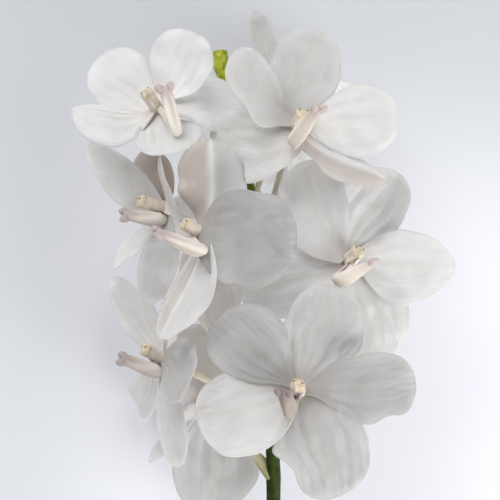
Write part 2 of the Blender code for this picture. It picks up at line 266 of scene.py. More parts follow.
class Piece:
    """A mesh in the making: points, faces and what the materials read from it."""

    def __init__(self, name: str) -> None:
        """Starts an empty piece of that name."""
        self.name = name
        self.points: list[np.ndarray] = []
        self.faces: list[tuple[int, ...]] = []
        self.places: list[np.ndarray] = []
        self.count = 0

    def add(self, points: np.ndarray, faces: list, places: np.ndarray) -> None:
        """Adds points with their faces, and each point's place on the piece.

        Args:
            points: the points, in millimetres.
            faces: tuples of indices into points.
            places: for each point, across and along the piece and how shaded it is.
        """
        self.points.append(points)
        self.places.append(places)
        self.faces += [tuple(i + self.count for i in face) for face in faces]
        self.count += len(points)

    def add_sheet(self, middle: np.ndarray, thickness: np.ndarray, places: np.ndarray) -> None:
        """Adds a closed leaf of tissue.

        Args:
            middle: its middle surface, as rows of points.
            thickness: its thickness at each of them.
            places: the place of each of them.
        """
        rows, columns = middle.shape[:2]
        normal = unit(np.cross(np.gradient(middle, axis=1), np.gradient(middle, axis=0)))
        offset = normal * thickness[..., None] / 2
        front, back = (middle + offset).reshape(-1, 3), (middle - offset).reshape(-1, 3)
        index = np.arange(rows * columns).reshape(rows, columns)
        corners = (index[:-1, :-1], index[:-1, 1:], index[1:, 1:], index[1:, :-1])
        quads = np.stack(corners, -1).reshape(-1, 4)
        far = rows * columns
        faces = [tuple(q) for q in np.vstack([quads[:, ::-1], quads + far]).tolist()]
        edge = np.concatenate([index[0], index[1:, -1], index[-1, -2::-1], index[-2:0:-1, 0]]).tolist()
        faces += [(a, b, b + far, a + far) for a, b in zip(edge, edge[1:] + edge[:1])]
        self.add(np.vstack([front, back]), faces, np.tile(places.reshape(far, 3), (2, 1)))

    def add_loft(self, rings: np.ndarray, shares: np.ndarray) -> None:
        """Adds a closed tube over rings of points, with a flat fan at each end.

        Args:
            rings: the rings, each with the same number of points.
            shares: the place of each ring along the piece.
        """
        count, sides = rings.shape[:2]
        index = np.arange(count * sides).reshape(count, sides)
        nxt = np.roll(index, -1, axis=1)
        quads = np.stack([index[:-1], nxt[:-1], nxt[1:], index[1:]], -1).reshape(-1, 4)
        faces = [tuple(q) for q in quads.tolist()]
        first, last = count * sides, count * sides + 1
        faces += [(first, nxt[0, i], index[0, i]) for i in range(sides)]
        faces += [(last, index[-1, i], nxt[-1, i]) for i in range(sides)]
        points = np.vstack([rings.reshape(-1, 3), rings[0].mean(0), rings[-1].mean(0)])
        turn = np.tile(np.linspace(-1, 1, sides, endpoint=False), count)
        along = np.repeat(shares, sides)
        spots = np.column_stack([np.append(turn, [0, 0]), np.append(along, [shares[0], shares[-1]])])
        self.add(points, faces, np.pad(spots, ((0, 0), (0, 1))))

    def add_knob(self, centre: np.ndarray, axes: np.ndarray, rings: int = 12, sides: int = 20) -> None:
        """Adds a closed rounded body.

        Args:
            centre: its centre.
            axes: its three half axes, as rows. The last one is its pole.
            rings: rings from pole to pole.
            sides: points in each ring.
        """
        lift = np.linspace(-POLE_SHARE, POLE_SHARE, rings) * pi
        turn = round_turns(sides)[..., None]
        flat = np.cos(lift)[:, None, None]
        circle = np.cos(turn) * axes[0] + np.sin(turn) * axes[1]
        rings_at = centre + flat * circle + np.sin(lift)[:, None, None] * axes[2]
        self.add_loft(rings_at, np.linspace(0, 1, rings))

    def finish(self, material: bpy.types.Material, slot: str, *nodes: str) -> bpy.types.Object:
        """Makes the object, and gives it its finish and its place in the frame.

        Args:
            material: what it is made of.
            slot: the record's material slot; not used.
            nodes: the CAD nodes that it stands for.

        Returns:
            The new object.
        """
        mesh = bpy.data.meshes.new(self.name)
        mesh.from_pydata((np.vstack(self.points) * MM).tolist(), [], self.faces)
        mesh.shade_smooth()
        place = mesh.attributes.new("place", "FLOAT_VECTOR", "POINT")
        place.data.foreach_set("vector", np.vstack(self.places).astype(np.float32).ravel())
        mesh.materials.append(material)
        mesh.update()
        obj = bpy.data.objects.new(self.name, mesh)
        bpy.context.scene.collection.objects.link(obj)
        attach(obj, BODY)
        if nodes:
            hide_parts(*nodes)
        logging.info("%s: %d points, %d faces", self.name, len(mesh.vertices), len(mesh.polygons))
        return obj


def ring_frames(path: np.ndarray, upper: np.ndarray) -> tuple[np.ndarray, np.ndarray, np.ndarray]:
    """Side and top directions that turn along a path without twisting.

    Args:
        path: the points of the path.
        upper: the way that the top looks at its start.

    Returns:
        The unit tangents, the side directions and the top directions.
    """
    tangents = unit(np.gradient(path, axis=0))
    tops = []
    top = np.asarray(upper, float)
    for tangent in tangents:
        top = across(top, tangent)
        tops.append(top)
    tops = np.array(tops)
    return tangents, np.cross(tangents, tops), tops


def round_rings(path: np.ndarray, radii: np.ndarray, upper: np.ndarray, sides: int) -> np.ndarray:
    """Rings of points round a path, one for each of its points.

    Args:
        path: the points of the path.
        radii: the radius at each, or a grid of them with one for each side.
        upper: where the rings' top is at the start.
        sides: points in each ring.

    Returns:
        The rings.
    """
    _, side, top = ring_frames(path, upper)
    turn = round_turns(sides)[..., None]
    radii = np.broadcast_to(np.asarray(radii, float).reshape(len(path), -1), (len(path), sides))[..., None]
    return path[:, None] + radii * (np.cos(turn) * side[:, None] + np.sin(turn) * top[:, None])


# ---------------------------------------------------------------- finishes


def linear(code: str) -> tuple[float, float, float, float]:
    """An sRGB hex colour such as "F2EFEA" as linear RGBA."""
    shares = [int(code[i : i + 2], 16) / 255 for i in (0, 2, 4)]
    return (*(c / 12.92 if c <= 0.04045 else ((c + 0.055) / 1.055) ** 2.4 for c in shares), 1.0)


class Kind(Enum):
    """The kinds of node that the materials use: a type, the inputs that are given in
    turn, the output that is taken, and settings.
    """

    BLEND = ("ShaderNodeMix", (0, 6, 7), 2, {"data_type": "RGBA"})  # two colours
    DARKEN = ("ShaderNodeMix", (0, 6, 7), 2, {"data_type": "RGBA", "blend_type": "MULTIPLY"})
    STEP = ("ShaderNodeMapRange", (0, 1, 2, 3, 4), 0, {"interpolation_type": "SMOOTHSTEP"})
    ADD = ("ShaderNodeMath", (0, 1), 0, {"operation": "ADD"})
    TIMES = ("ShaderNodeMath", (0, 1), 0, {"operation": "MULTIPLY"})
    GREATER = ("ShaderNodeMath", (0, 1), 0, {"operation": "MAXIMUM"})
    UNSIGNED = ("ShaderNodeMath", (0,), 0, {"operation": "ABSOLUTE"})
    SINE = ("ShaderNodeMath", (0,), 0, {"operation": "SINE"})
    LENGTH = ("ShaderNodeVectorMath", (0,), "Value", {"operation": "LENGTH"})
    SPOT = ("ShaderNodeTexCoord", (), "Object", {})
    PLACE = ("ShaderNodeAttribute", (), "Vector", {"attribute_name": "place"})
    X = ("ShaderNodeSeparateXYZ", (0,), "X", {})
    Y = ("ShaderNodeSeparateXYZ", (0,), "Y", {})
    Z = ("ShaderNodeSeparateXYZ", (0,), "Z", {})
    NOISE = ("ShaderNodeTexNoise", ("Vector", "Scale", "Detail"), "Fac", {})
    CELLS = ("ShaderNodeTexVoronoi", ("Vector", "Scale"), "Distance", {})
    BUMP = ("ShaderNodeBump", ("Strength", "Distance", "Height"), "Normal", {})


def every(size: float) -> float:
    """The scale of a pattern whose parts are about size millimetres wide."""
    return 1 / (size * MM)


class Graph:
    """The node tree of one material, with the place on the piece that it colours.

    over is the place across the piece, along the place on its length, and shaded the
    painted shade that its place deep in the bunch gets, which on a stalk is instead the
    share of its foot's tone. spot is the place in metres.
    """

    def __init__(self, name: str) -> None:
        """Starts a material with one Principled shader.

        Args:
            name: the material's name.
        """
        self.material = bpy.data.materials.new(name)
        self.material.use_nodes = True
        self.tree = self.material.node_tree
        self.shader = self.tree.nodes["Principled BSDF"]
        self.spot = self.add(Kind.SPOT)
        place = self.add(Kind.PLACE)
        self.over, self.along, self.shaded = (self.add(kind, place) for kind in (Kind.X, Kind.Y, Kind.Z))

    def add(self, kind: Kind, *given: object) -> Socket:
        """Adds a node.

        Args:
            kind: what it is.
            given: for each of its inputs in turn, a socket to link or a value to set.

        Returns:
            Its output.
        """
        name, inputs, output, settings = kind.value
        node = self.tree.nodes.new(name)
        for key, value in settings.items():
            setattr(node, key, value)
        for key, value in zip(inputs, given):
            self.feed(node.inputs[key], value)
        return node.outputs[output]

    def feed(self, socket: Socket, value: object) -> None:
        """Fills an input.

        Args:
            socket: the input.
            value: the socket to link to it, or the value to set.
        """
        if isinstance(value, Socket):
            self.tree.links.new(value, socket)
        else:
            socket.default_value = value

    def shade(self, **links: object) -> bpy.types.Material:
        """Fills the shader's inputs.

        Args:
            links: a socket or a value for each input, by its name.

        Returns:
            The finished material.
        """
        for key, value in links.items():
            self.feed(self.shader.inputs[key.replace("_", " ")], value)
        return self.material


@dataclass(frozen=True)
class PetalTissue:
    """Living petal tissue: soft white cells full of air, so light passes into it and
    comes out warm. It has a satin skin, fine veins that fan out from the foot, a faint
    blush where the foot narrows, painted shade along its thin margins, and painted shade
    in a grey and a warm kind deep inside the bunch.
    """

    name: str
    white: str = "E5E4E2"
    shade: str = "D5D4D1"
    foot: str = "DCD3CD"
    rib: str = "D6D5CC"
    # painted shade that dims the light which the thin margins catch
    margin: str = "D0CDCA"
    # the grey and the warm colour of the painted shade deep in the bunch
    painted_shade_grey: str = "A7A8A8"
    deep: str = "BAACA1"
    rib_strength: float = 0.15
    rib_width: float = 0.1  # as a share of the half width
    cloud: float = 9.0  # soft patches of the second tone, in millimetres
    cloud_strength: float = 0.55
    vein_lines: float = 23.0  # fine veins, in half turns over the half width
    vein_stray: float = 0.16
    stray_length: float = 11.0
    fading_length: float = 14.0
    vein_strengths: tuple[float, float] = (0.02, 0.2)  # of the faintest and the clearest
    foot_until: float = 0.3
    foot_strength: float = 0.8
    margin_from: float = 0.9
    margin_strength: float = 0.9
    skin_relief: float = 0.14
    skin_depth: float = 0.25
    cell_relief: float = 0.35  # against the grain of the skin
    vein_reliefs: tuple[float, float] = (0.75, 0.25)  # at the foot and at the tip
    sheen: float = 5.0  # patches of brighter and duller satin
    roughness: tuple[float, float] = (0.46, 0.6)
    skin_ior: float = 1.42
    depth: float = 1.6
    warmth: Point = (1.0, 0.96, 0.93)  # how far red, green and blue go in
    grain: float = 1.6
    cell: float = 0.42  # real cells are a tenth of this, which would not show

    def build(self) -> bpy.types.Material:
        """Makes the material.

        Returns:
            The new material.
        """
        graph = Graph(self.name)
        add, spot = graph.add, graph.spot
        lines = self.veins(graph)
        colour = self.tint(graph, lines)
        # painted shade deep in the bunch: warm where shaded is below zero, grey above it
        neutral = add(Kind.STEP, graph.shaded, -0.05, 0.05)
        painted_shade_tone = add(Kind.BLEND, neutral, linear(self.deep), linear(self.painted_shade_grey))
        darker = add(Kind.DARKEN, 1.0, colour, painted_shade_tone)
        colour = add(Kind.BLEND, add(Kind.UNSIGNED, graph.shaded), colour, darker)
        cells = add(Kind.TIMES, add(Kind.CELLS, spot, every(self.cell)), self.cell_relief)
        skin = add(Kind.ADD, cells, add(Kind.NOISE, spot, every(self.grain), 3.0))
        raised = add(Kind.TIMES, lines, add(Kind.STEP, graph.along, 0.1, 0.9, *self.vein_reliefs))
        relief = add(Kind.ADD, skin, raised)
        satin = add(Kind.STEP, add(Kind.NOISE, spot, every(self.sheen), 2.0), 0.3, 0.7, *self.roughness)
        return graph.shade(
            Base_Color=colour, Roughness=satin, IOR=self.skin_ior,
            Normal=add(Kind.BUMP, self.skin_relief, self.skin_depth * MM, relief),
            Subsurface_Weight=1.0, Subsurface_Radius=self.warmth, Subsurface_Scale=self.depth * MM,
        )

    def veins(self, graph: Graph) -> Socket:
        """The fine veins, which stray a little from straight lines.

        Args:
            graph: the material's nodes.

        Returns:
            Waves from -1 to 1 with a crest on each vein.
        """
        add = graph.add
        noise = add(Kind.NOISE, graph.spot, every(self.stray_length), 1.0)
        bent = add(Kind.ADD, graph.over, add(Kind.TIMES, noise, self.vein_stray))
        return add(Kind.SINE, add(Kind.TIMES, bent, self.vein_lines * pi))

    def tint(self, graph: Graph, lines: Socket) -> Socket:
        """The colour of the tissue in full light.

        Args:
            graph: the material's nodes.
            lines: the fine veins.

        Returns:
            The colour.
        """
        add, spot = graph.add, graph.spot
        from_middle = add(Kind.UNSIGNED, graph.over)
        cloud = add(Kind.NOISE, spot, every(self.cloud), 3.0)
        cloud = add(Kind.STEP, cloud, 0.35, 0.75, 0.0, self.cloud_strength)
        colour = add(Kind.BLEND, cloud, linear(self.white), linear(self.shade))
        fading = add(Kind.NOISE, spot, every(self.fading_length), 2.0)
        fading = add(Kind.STEP, fading, -0.6, 0.4, *self.vein_strengths)
        faint = add(Kind.TIMES, add(Kind.STEP, lines, 0.5, 1.0), fading)
        colour = add(Kind.BLEND, faint, colour, linear(self.shade))
        near = add(Kind.STEP, graph.along, 0.0, self.foot_until, self.foot_strength, 0.0)
        colour = add(Kind.BLEND, near, colour, linear(self.foot))
        middle = add(Kind.STEP, from_middle, 0.0, self.rib_width, self.rib_strength, 0.0)
        colour = add(Kind.BLEND, middle, colour, linear(self.rib))
        # painted shade along the margin and the tip, dimming the light that the thin edges catch
        beside = add(Kind.STEP, from_middle, self.margin_from, 1.0)
        edge = add(Kind.GREATER, beside, add(Kind.STEP, graph.along, 0.95, 1.0))
        return add(Kind.BLEND, add(Kind.TIMES, edge, self.margin_strength), colour, linear(self.margin))


@dataclass(frozen=True)
class LipTissue:
    """The lip's firmer tissue: creamy white rims over a warm beige keel whose darker tone
    is partly painted shade of its underside, a dusky mauve on the two knobs, a magenta
    stain deep in the groove at its foot, and painted shade deep in the bunch.
    """

    name: str
    top: str = "EDE6DC"
    # the keel's beige, darker than the rims partly as painted shade of the underside
    under: str = "D9CDC1"
    knob: str = "C2B2AE"
    stain: str = "8A4A5C"
    # the colour that the painted shade deep in the bunch multiplies in
    painted_shade_tone: str = "B0ABA9"
    stain_strength: float = 0.8
    knob_strength: float = 0.9
    roughness: float = 0.55
    ior: float = 1.45
    knobs_from: float = 0.74
    knobs_full: float = 1.02
    blotch: float = 2.2
    grain: float = 0.7
    grain_relief: float = 0.25
    grain_depth: float = 0.2
    warmth: Point = (1.0, 0.9, 0.85)
    depth: float = 0.9

    def build(self) -> bpy.types.Material:
        """Makes the material.

        Returns:
            The new material.
        """
        graph = Graph(self.name)
        add, spot, over, along = graph.add, graph.spot, graph.over, graph.along
        # the keel's beige on the lower side, partly painted shade of the underside
        low = add(Kind.STEP, over, -0.15, 0.3, 1.0, 0.0)
        blotch = add(Kind.STEP, add(Kind.NOISE, spot, every(self.blotch), 3.0), 0.3, 0.7, 0.8, 1.0)
        colour = add(Kind.BLEND, add(Kind.TIMES, low, blotch), linear(self.top), linear(self.under))
        deep = add(Kind.TIMES, add(Kind.STEP, over, 0.9, 0.99), add(Kind.STEP, along, 0.5, 0.25))
        colour = add(Kind.BLEND, add(Kind.TIMES, deep, self.stain_strength), colour, linear(self.stain))
        end = add(Kind.STEP, along, self.knobs_from, self.knobs_full, 0.0, self.knob_strength)
        colour = add(Kind.BLEND, end, colour, linear(self.knob))
        # painted shade deep in the bunch
        colour = add(Kind.BLEND, graph.shaded, colour, add(Kind.DARKEN, 1.0, colour, linear(self.painted_shade_tone)))
        grain = add(Kind.NOISE, spot, every(self.grain), 3.0)
        return graph.shade(
            Base_Color=colour, Roughness=self.roughness, IOR=self.ior,
            Normal=add(Kind.BUMP, self.grain_relief, self.grain_depth * MM, grain),
            Subsurface_Weight=0.4, Subsurface_Radius=self.warmth, Subsurface_Scale=self.depth * MM,
        )


@dataclass(frozen=True)
class WaxySkin:
    """Smooth waxy plant skin in two close tones, mottled and lightly streaked along
    its length, as on a column, an anther cap or a stalk.
    """

    name: str
    light: str
    dark: str
    blotch: float = 2.0
    streaks: float = 0.0  # half turns from the middle to the margin
    streak_strength: float = 0.45
    streak_relief: float = 0.4
    roughness: float = 0.4
    ior: float = 1.45
    warmth: Point = (1.0, 0.8, 0.4)
    depth: float = 0.8
    bumps: float = 0.15
    bump_depth: float = 0.3
    young: str = ""  # the tone towards its growing end, where it differs
    foot: str = ""  # and where it leaves the stem

    def build(self) -> bpy.types.Material:
        """Makes the material.

        Returns:
            The new material.
        """
        graph = Graph(self.name)
        add, spot = graph.add, graph.spot
        mottle = add(Kind.STEP, add(Kind.NOISE, spot, every(self.blotch), 3.0), 0.35, 0.68)
        colour = add(Kind.BLEND, mottle, linear(self.light), linear(self.dark))
        if self.young:
            high = add(Kind.STEP, graph.along, 0.55, 0.85)
            colour = add(Kind.BLEND, high, colour, linear(self.young))
        if self.foot:
            colour = add(Kind.BLEND, graph.shaded, colour, linear(self.foot))
        height = add(Kind.NOISE, spot, every(self.blotch * 0.3), 3.0)
        if self.streaks:
            lines = add(Kind.SINE, add(Kind.TIMES, graph.over, self.streaks * pi))
            streak = add(Kind.STEP, lines, 0.2, 1.0, 0.0, self.streak_strength)
            colour = add(Kind.BLEND, streak, colour, linear(self.dark))
            height = add(Kind.ADD, height, add(Kind.TIMES, lines, self.streak_relief))
        return graph.shade(
            Base_Color=colour, Roughness=self.roughness, IOR=self.ior,
            Normal=add(Kind.BUMP, self.bumps, self.bump_depth * MM, height),
            Subsurface_Weight=0.2, Subsurface_Radius=self.warmth, Subsurface_Scale=self.depth * MM,
        )


class Finishes:
    """Every material of the spike, made once."""

    def __init__(self) -> None:
        """Makes the materials."""
        self.petal = PetalTissue("white_petal_tissue").build()
        self.sepal = PetalTissue("white_sepal_tissue", rib_strength=0.2).build()
        self.lip = LipTissue("lip_tissue").build()
        self.lobe = PetalTissue("lip_lobe_tissue", white="E4E0DA", shade="DACFC7", foot="D8C8BE").build()
        self.column = WaxySkin("column_skin", "E2DACD", "D4C6B6", blotch=2.6).build()
        self.cap = WaxySkin("anther_cap_wax", "DED3C0", "CAB794", blotch=1.6, roughness=0.35).build()
        self.mark = WaxySkin("anther_mark", "7A5430", "5A3A1E", blotch=0.6, roughness=0.5).build()
        self.stalk = WaxySkin(
            "stalk_skin", "DDD6C4", "CFC5A8", blotch=4.0, streaks=6.0, roughness=0.5, foot="A3A566",
        ).build()
        self.bract = WaxySkin("bract_skin", "A9AB5E", "83863C", blotch=1.5, streaks=7.0, bumps=0.3).build()
        self.stem = WaxySkin(
            "green_stem_skin", "3B4A18", "26320C", blotch=3.5, streaks=9.0, roughness=0.6, ior=1.2,
            bumps=0.3, young="9CA236",
        ).build()
        self.cut = WaxySkin(
            "cut_stem_pith", "C9CE9C", "9CAA66", blotch=0.8, roughness=0.75, bumps=0.6,
        ).build()
        self.tip = WaxySkin(
            "growing_tip_skin", "BFC23C", "8C9A1C", blotch=2.4, streaks=5.0, bumps=0.3,
        ).build()


# ---------------------------------------------------------------- flowers


def half_width(
    s: np.ndarray, most: float, claw: float, widest: float, flare: float, end: float
) -> np.ndarray:
    """The plain outline of one side of a sepal or petal: claw, blade and round tip.

    Args:
        s: shares of its length.
        most: the half width where it is widest.
        claw: the half width of its foot.
        widest: the share of the length where it is widest.
        flare: how slowly the blade opens out of the claw.
        end: how blunt the tip is.

    Returns:
        The half width at each share.
    """
    grow = np.sin(pi / 2 * np.clip(s / widest, 0, 1)) ** flare
    blade = claw + (most - claw) * grow
    past = np.clip((s - widest) / (1 - widest), 0, 1)
    return np.where(s <= widest, blade, most * np.sqrt(1 - past**end))


@dataclass(frozen=True)
class Tepal:
    """One sepal or petal.

    turn is the angle of its foot round the flower's axis, from the upper side and
    clockwise as the flower looks at you. left and right are its half widths, looking
    at its face with the tip up. face is the way that its outer half looks, bow lifts
    its middle towards that side and keel folds it along its midrib. Where the left
    half differs, it has a value of its own, and zero there means that it doesn't.
    """

    name: str
    turn: float
    tip: Point
    left: float
    right: float
    face: Point
    bow: float = 0.0
    reach: float = 0.3  # share of the length over which it keeps the way of its foot
    keel: float = 0.0
    end: float = 2.2  # above 2 the tip is blunt, and below 2 it is pointed
    widest: float = 0.0  # share of the length, or zero for the usual one
    widest_left: float = 0.0
    flare: float = 0.85  # above 1, the blade opens slowly out of the claw
    flare_left: float = 0.0
    notches: tuple[Notch, ...] = ()
    curls: tuple[Curl, ...] = ()
    crumple: float = 0.55  # how wrinkled it is
    shade: float = 0.0  # painted shade: how much its place deep in the bunch darkens it, warm below zero
    shade_left: float | None = None

    @property
    def is_petal(self) -> bool:
        """True for the two side petals, which sit in front of the sepals."""
        return self.name.endswith("petal")

    def outline(self, s: np.ndarray, side: Side, seed: int) -> np.ndarray:
        """The half width on one side, with its dips and bulges.

        Args:
            s: shares of its length.
            side: the side.
            seed: what its small irregularities are drawn from.

        Returns:
            The half width at each share.
        """
        claw = PETAL_CLAW if self.is_petal else SEPAL_CLAW
        widest = self.widest or (PETAL_WIDEST if self.is_petal else SEPAL_WIDEST)
        most, flare = self.right, self.flare
        if side is Side.LEFT:
            most, widest, flare = self.left, self.widest_left or widest, self.flare_left or flare
        width = half_width(s, most, claw, widest, flare, self.end)
        for notch in self.notches:
            if notch.side is side:
                width = width * (1 - notch.depth * bell(s, notch.at, notch.span))
        slow, fast = np.random.default_rng(seed).uniform(0, tau, 2)
        uneven = np.sin(8.0 * s + slow) + 0.45 * np.sin(21.0 * s + fast)
        return width * (1 + MARGIN_UNEVEN * uneven * smoothstep(0.15, 0.5, s))

    def slope(self, s: np.ndarray, v: np.ndarray, side: Side, seed: int) -> np.ndarray:
        """How steeply the cross section rises outwards.

        Args:
            s: shares of its length, one for each row.
            v: shares of its half width on this side, one for each column.
            side: the side.
            seed: what its small irregularities are drawn from.

        Returns:
            The angle at each place, in radians.
        """
        s, v = s[:, None], np.abs(v)[None, :]
        rng = np.random.default_rng(seed)
        angle = CUP * v * np.ones_like(s)
        angle = angle + atan(self.keel) * np.clip(1.8 * s, 0, 1) * np.tanh(v / KEEL_ROUNDING)
        waves, phase = rng.uniform(*RUFFLE_WAVES), rng.uniform(0, tau)
        swing = np.sin(tau * waves * s + phase) * smoothstep(0.25, 0.7, s)
        angle = angle + RUFFLE * v**3 * swing
        for curl in self.curls:
            if curl.side is side:
                reach = bell(s, curl.at, curl.span)
                angle = angle + radians(curl.degrees) * reach * smoothstep(curl.start, 1.0, v)
        return angle

    def section(self, s: np.ndarray, v: np.ndarray, seed: int) -> tuple[np.ndarray, np.ndarray]:
        """The cross section along the piece, from its midrib out to both margins.

        Args:
            s: shares of its length, one for each row.
            v: shares of its half width from -1 to 1, one for each column.
            seed: what its small irregularities are drawn from.

        Returns:
            How far beside the midrib and how far above it each place lies.
        """
        half = COLUMNS // 2
        halves = {Side.LEFT: np.arange(half, -1, -1), Side.RIGHT: np.arange(half, COLUMNS)}
        over, rise = np.zeros((ROWS, COLUMNS)), np.zeros((ROWS, COLUMNS))
        for side, cols in halves.items():
            width = self.outline(s, side, seed + 11 * side.value)[:, None]
            angle = self.slope(s, v[cols], side, seed + side.value)
            run = np.diff(np.abs(v[cols]))[None, :] * width
            mean = (angle[:, 1:] + angle[:, :-1]) / 2
            over[:, cols[1:]] = side.value * np.cumsum(np.cos(mean) * run, axis=1)
            rise[:, cols[1:]] = np.cumsum(np.sin(mean) * run, axis=1)
        return over, rise

    def surface(self, flower: "Flower", seed: int) -> tuple[np.ndarray, np.ndarray]:
        """The middle surface.

        Args:
            flower: the flower that it belongs to.
            seed: what its small irregularities are drawn from.

        Returns:
            Rows of points from foot to tip, and the place and shade of each.
        """
        axis, upper = flower.axis, flower.top
        turn = radians(self.turn)
        out = cos(turn) * upper + sin(turn) * np.cross(upper, axis)
        set_at = PETAL_SET if self.is_petal else SEPAL_SET
        foot = np.array(flower.heart) + out * RING_RADIUS + axis * set_at
        tip = np.array(self.tip, float)
        face, length = unit(self.face), np.linalg.norm(tip - foot)
        first = foot + out * self.reach * length
        second = foot + (tip - foot) * PULL_OF_FACE + across(face, unit(tip - foot)) * self.bow
        s = 1 - (1 - np.linspace(0, 1, ROWS)) ** ROW_CROWDING
        s[-1] = TIP_END
        midrib, tangents = bezier((foot, first, second, tip), s)
        midrib = midrib - (out * FOOT_TUCK) * smoothstep(TUCK_UNTIL, 0.0, s)[:, None]
        turning = smoothstep(0, FACE_FROM, s)[:, None]
        looks = (1 - turning) * axis + turning * face
        looks = unit(looks - (looks * tangents).sum(1, keepdims=True) * tangents)
        beside = np.cross(tangents, looks)
        v = np.linspace(-1, 1, COLUMNS)
        v = np.sign(v) * np.abs(v) ** COLUMN_CROWDING
        over, rise = self.section(s, v, seed)
        middle = midrib[:, None] + over[..., None] * beside[:, None] + rise[..., None] * looks[:, None]
        height = self.relief(s, v, over, s[:, None] * length, seed)
        middle = middle + height[..., None] * looks[:, None]
        # painted shade deep in the bunch, turning from the left half's to the right half's across the midrib
        left = self.shade if self.shade_left is None else self.shade_left
        shade = left + (self.shade - left) * smoothstep(-SHADE_SEAM, SHADE_SEAM, v)
        return middle, grid_places(v, s, shade)

    def relief(
        self, s: np.ndarray, v: np.ndarray, over: np.ndarray, along: np.ndarray, seed: int
    ) -> np.ndarray:
        """Veins, folds, wrinkles and broad swells of the blade.

        Args:
            s: shares of its length, one for each row.
            v: shares of its half width, one for each column.
            over: how far beside the midrib each place lies, in millimetres.
            along: how far along it each place lies.
            seed: what its small irregularities are drawn from.

        Returns:
            The height at each place, in millimetres.
        """
        open_out = smoothstep(0.05, 0.45, s)[:, None]
        bent = v[None, :] + Relief(seed + 2, VEIN_STRAY_LENGTH, VEIN_STRAY).at(over, along)
        fan = (0.5 + 0.5 * np.cos(tau * VEINS_PER_SIDE * bent)) ** 2
        fade = smoothstep(1.0, 0.75, np.abs(v))[None, :] * smoothstep(1.0, 0.8, s)[:, None]
        vary = 0.6 + Relief(seed + 3, VEIN_FADING_LENGTH, VEIN_FADING).at(over, along)
        veins = VEIN_HEIGHT * fan * fade * open_out * vary
        pucker = Relief(seed + 5, PUCKER_LENGTH, PUCKER_HEIGHT, PUCKER_STRETCH).at(over, along) * open_out
        swell = Relief(seed + 7, SWELL_LENGTH, SWELL_HEIGHT).at(over, along) * open_out
        phase = np.random.default_rng(seed + 6).uniform(0, tau)
        grow = smoothstep(0.03, 0.3, s) * smoothstep(0.95, 0.4, s)
        high = FOLD_HEIGHT * np.abs(over).max(axis=1) * grow
        folds = high[:, None] * np.cos(tau * FOLDS_PER_SIDE * bent + phase) * (1 - bent**2)
        outer = smoothstep(0.3, 0.75, np.maximum(np.abs(v)[None, :], s[:, None] * 0.9)) * open_out
        ripple = Relief(seed + 9, RIPPLE_LENGTH, RIPPLE_HEIGHT, RIPPLE_STRETCH).at(over, along) * outer
        return veins + folds + swell + (pucker + ripple) * self.crumple

    def build(self, flower: "Flower", finishes: Finishes, seed: int) -> bpy.types.Object:
        """Makes the sepal or petal.

        Args:
            flower: the flower that it belongs to.
            finishes: the materials.
            seed: what its small irregularities are drawn from.

        Returns:
            The new object.
        """
        middle, places = self.surface(flower, seed)
        over, along = places[..., 0], places[..., 1]
        thin = MARGIN_THICKNESS + (BLADE_THICKNESS - MARGIN_THICKNESS) * (1 - over**4)
        thin = MARGIN_THICKNESS + (thin - MARGIN_THICKNESS) * smoothstep(1.0, 0.88, along)
        thickness = thin + (CLAW_THICKNESS - thin) * smoothstep(0.3, 0.0, along)
        piece = Piece(f"bloom_{flower.number}_{self.name}")
        piece.add_sheet(middle, thickness, places)
        finish, slot = (finishes.petal, "petal") if self.is_petal else (finishes.sepal, "sepal")
        return piece.finish(finish, slot, f"{flower.node}_{self.name}")


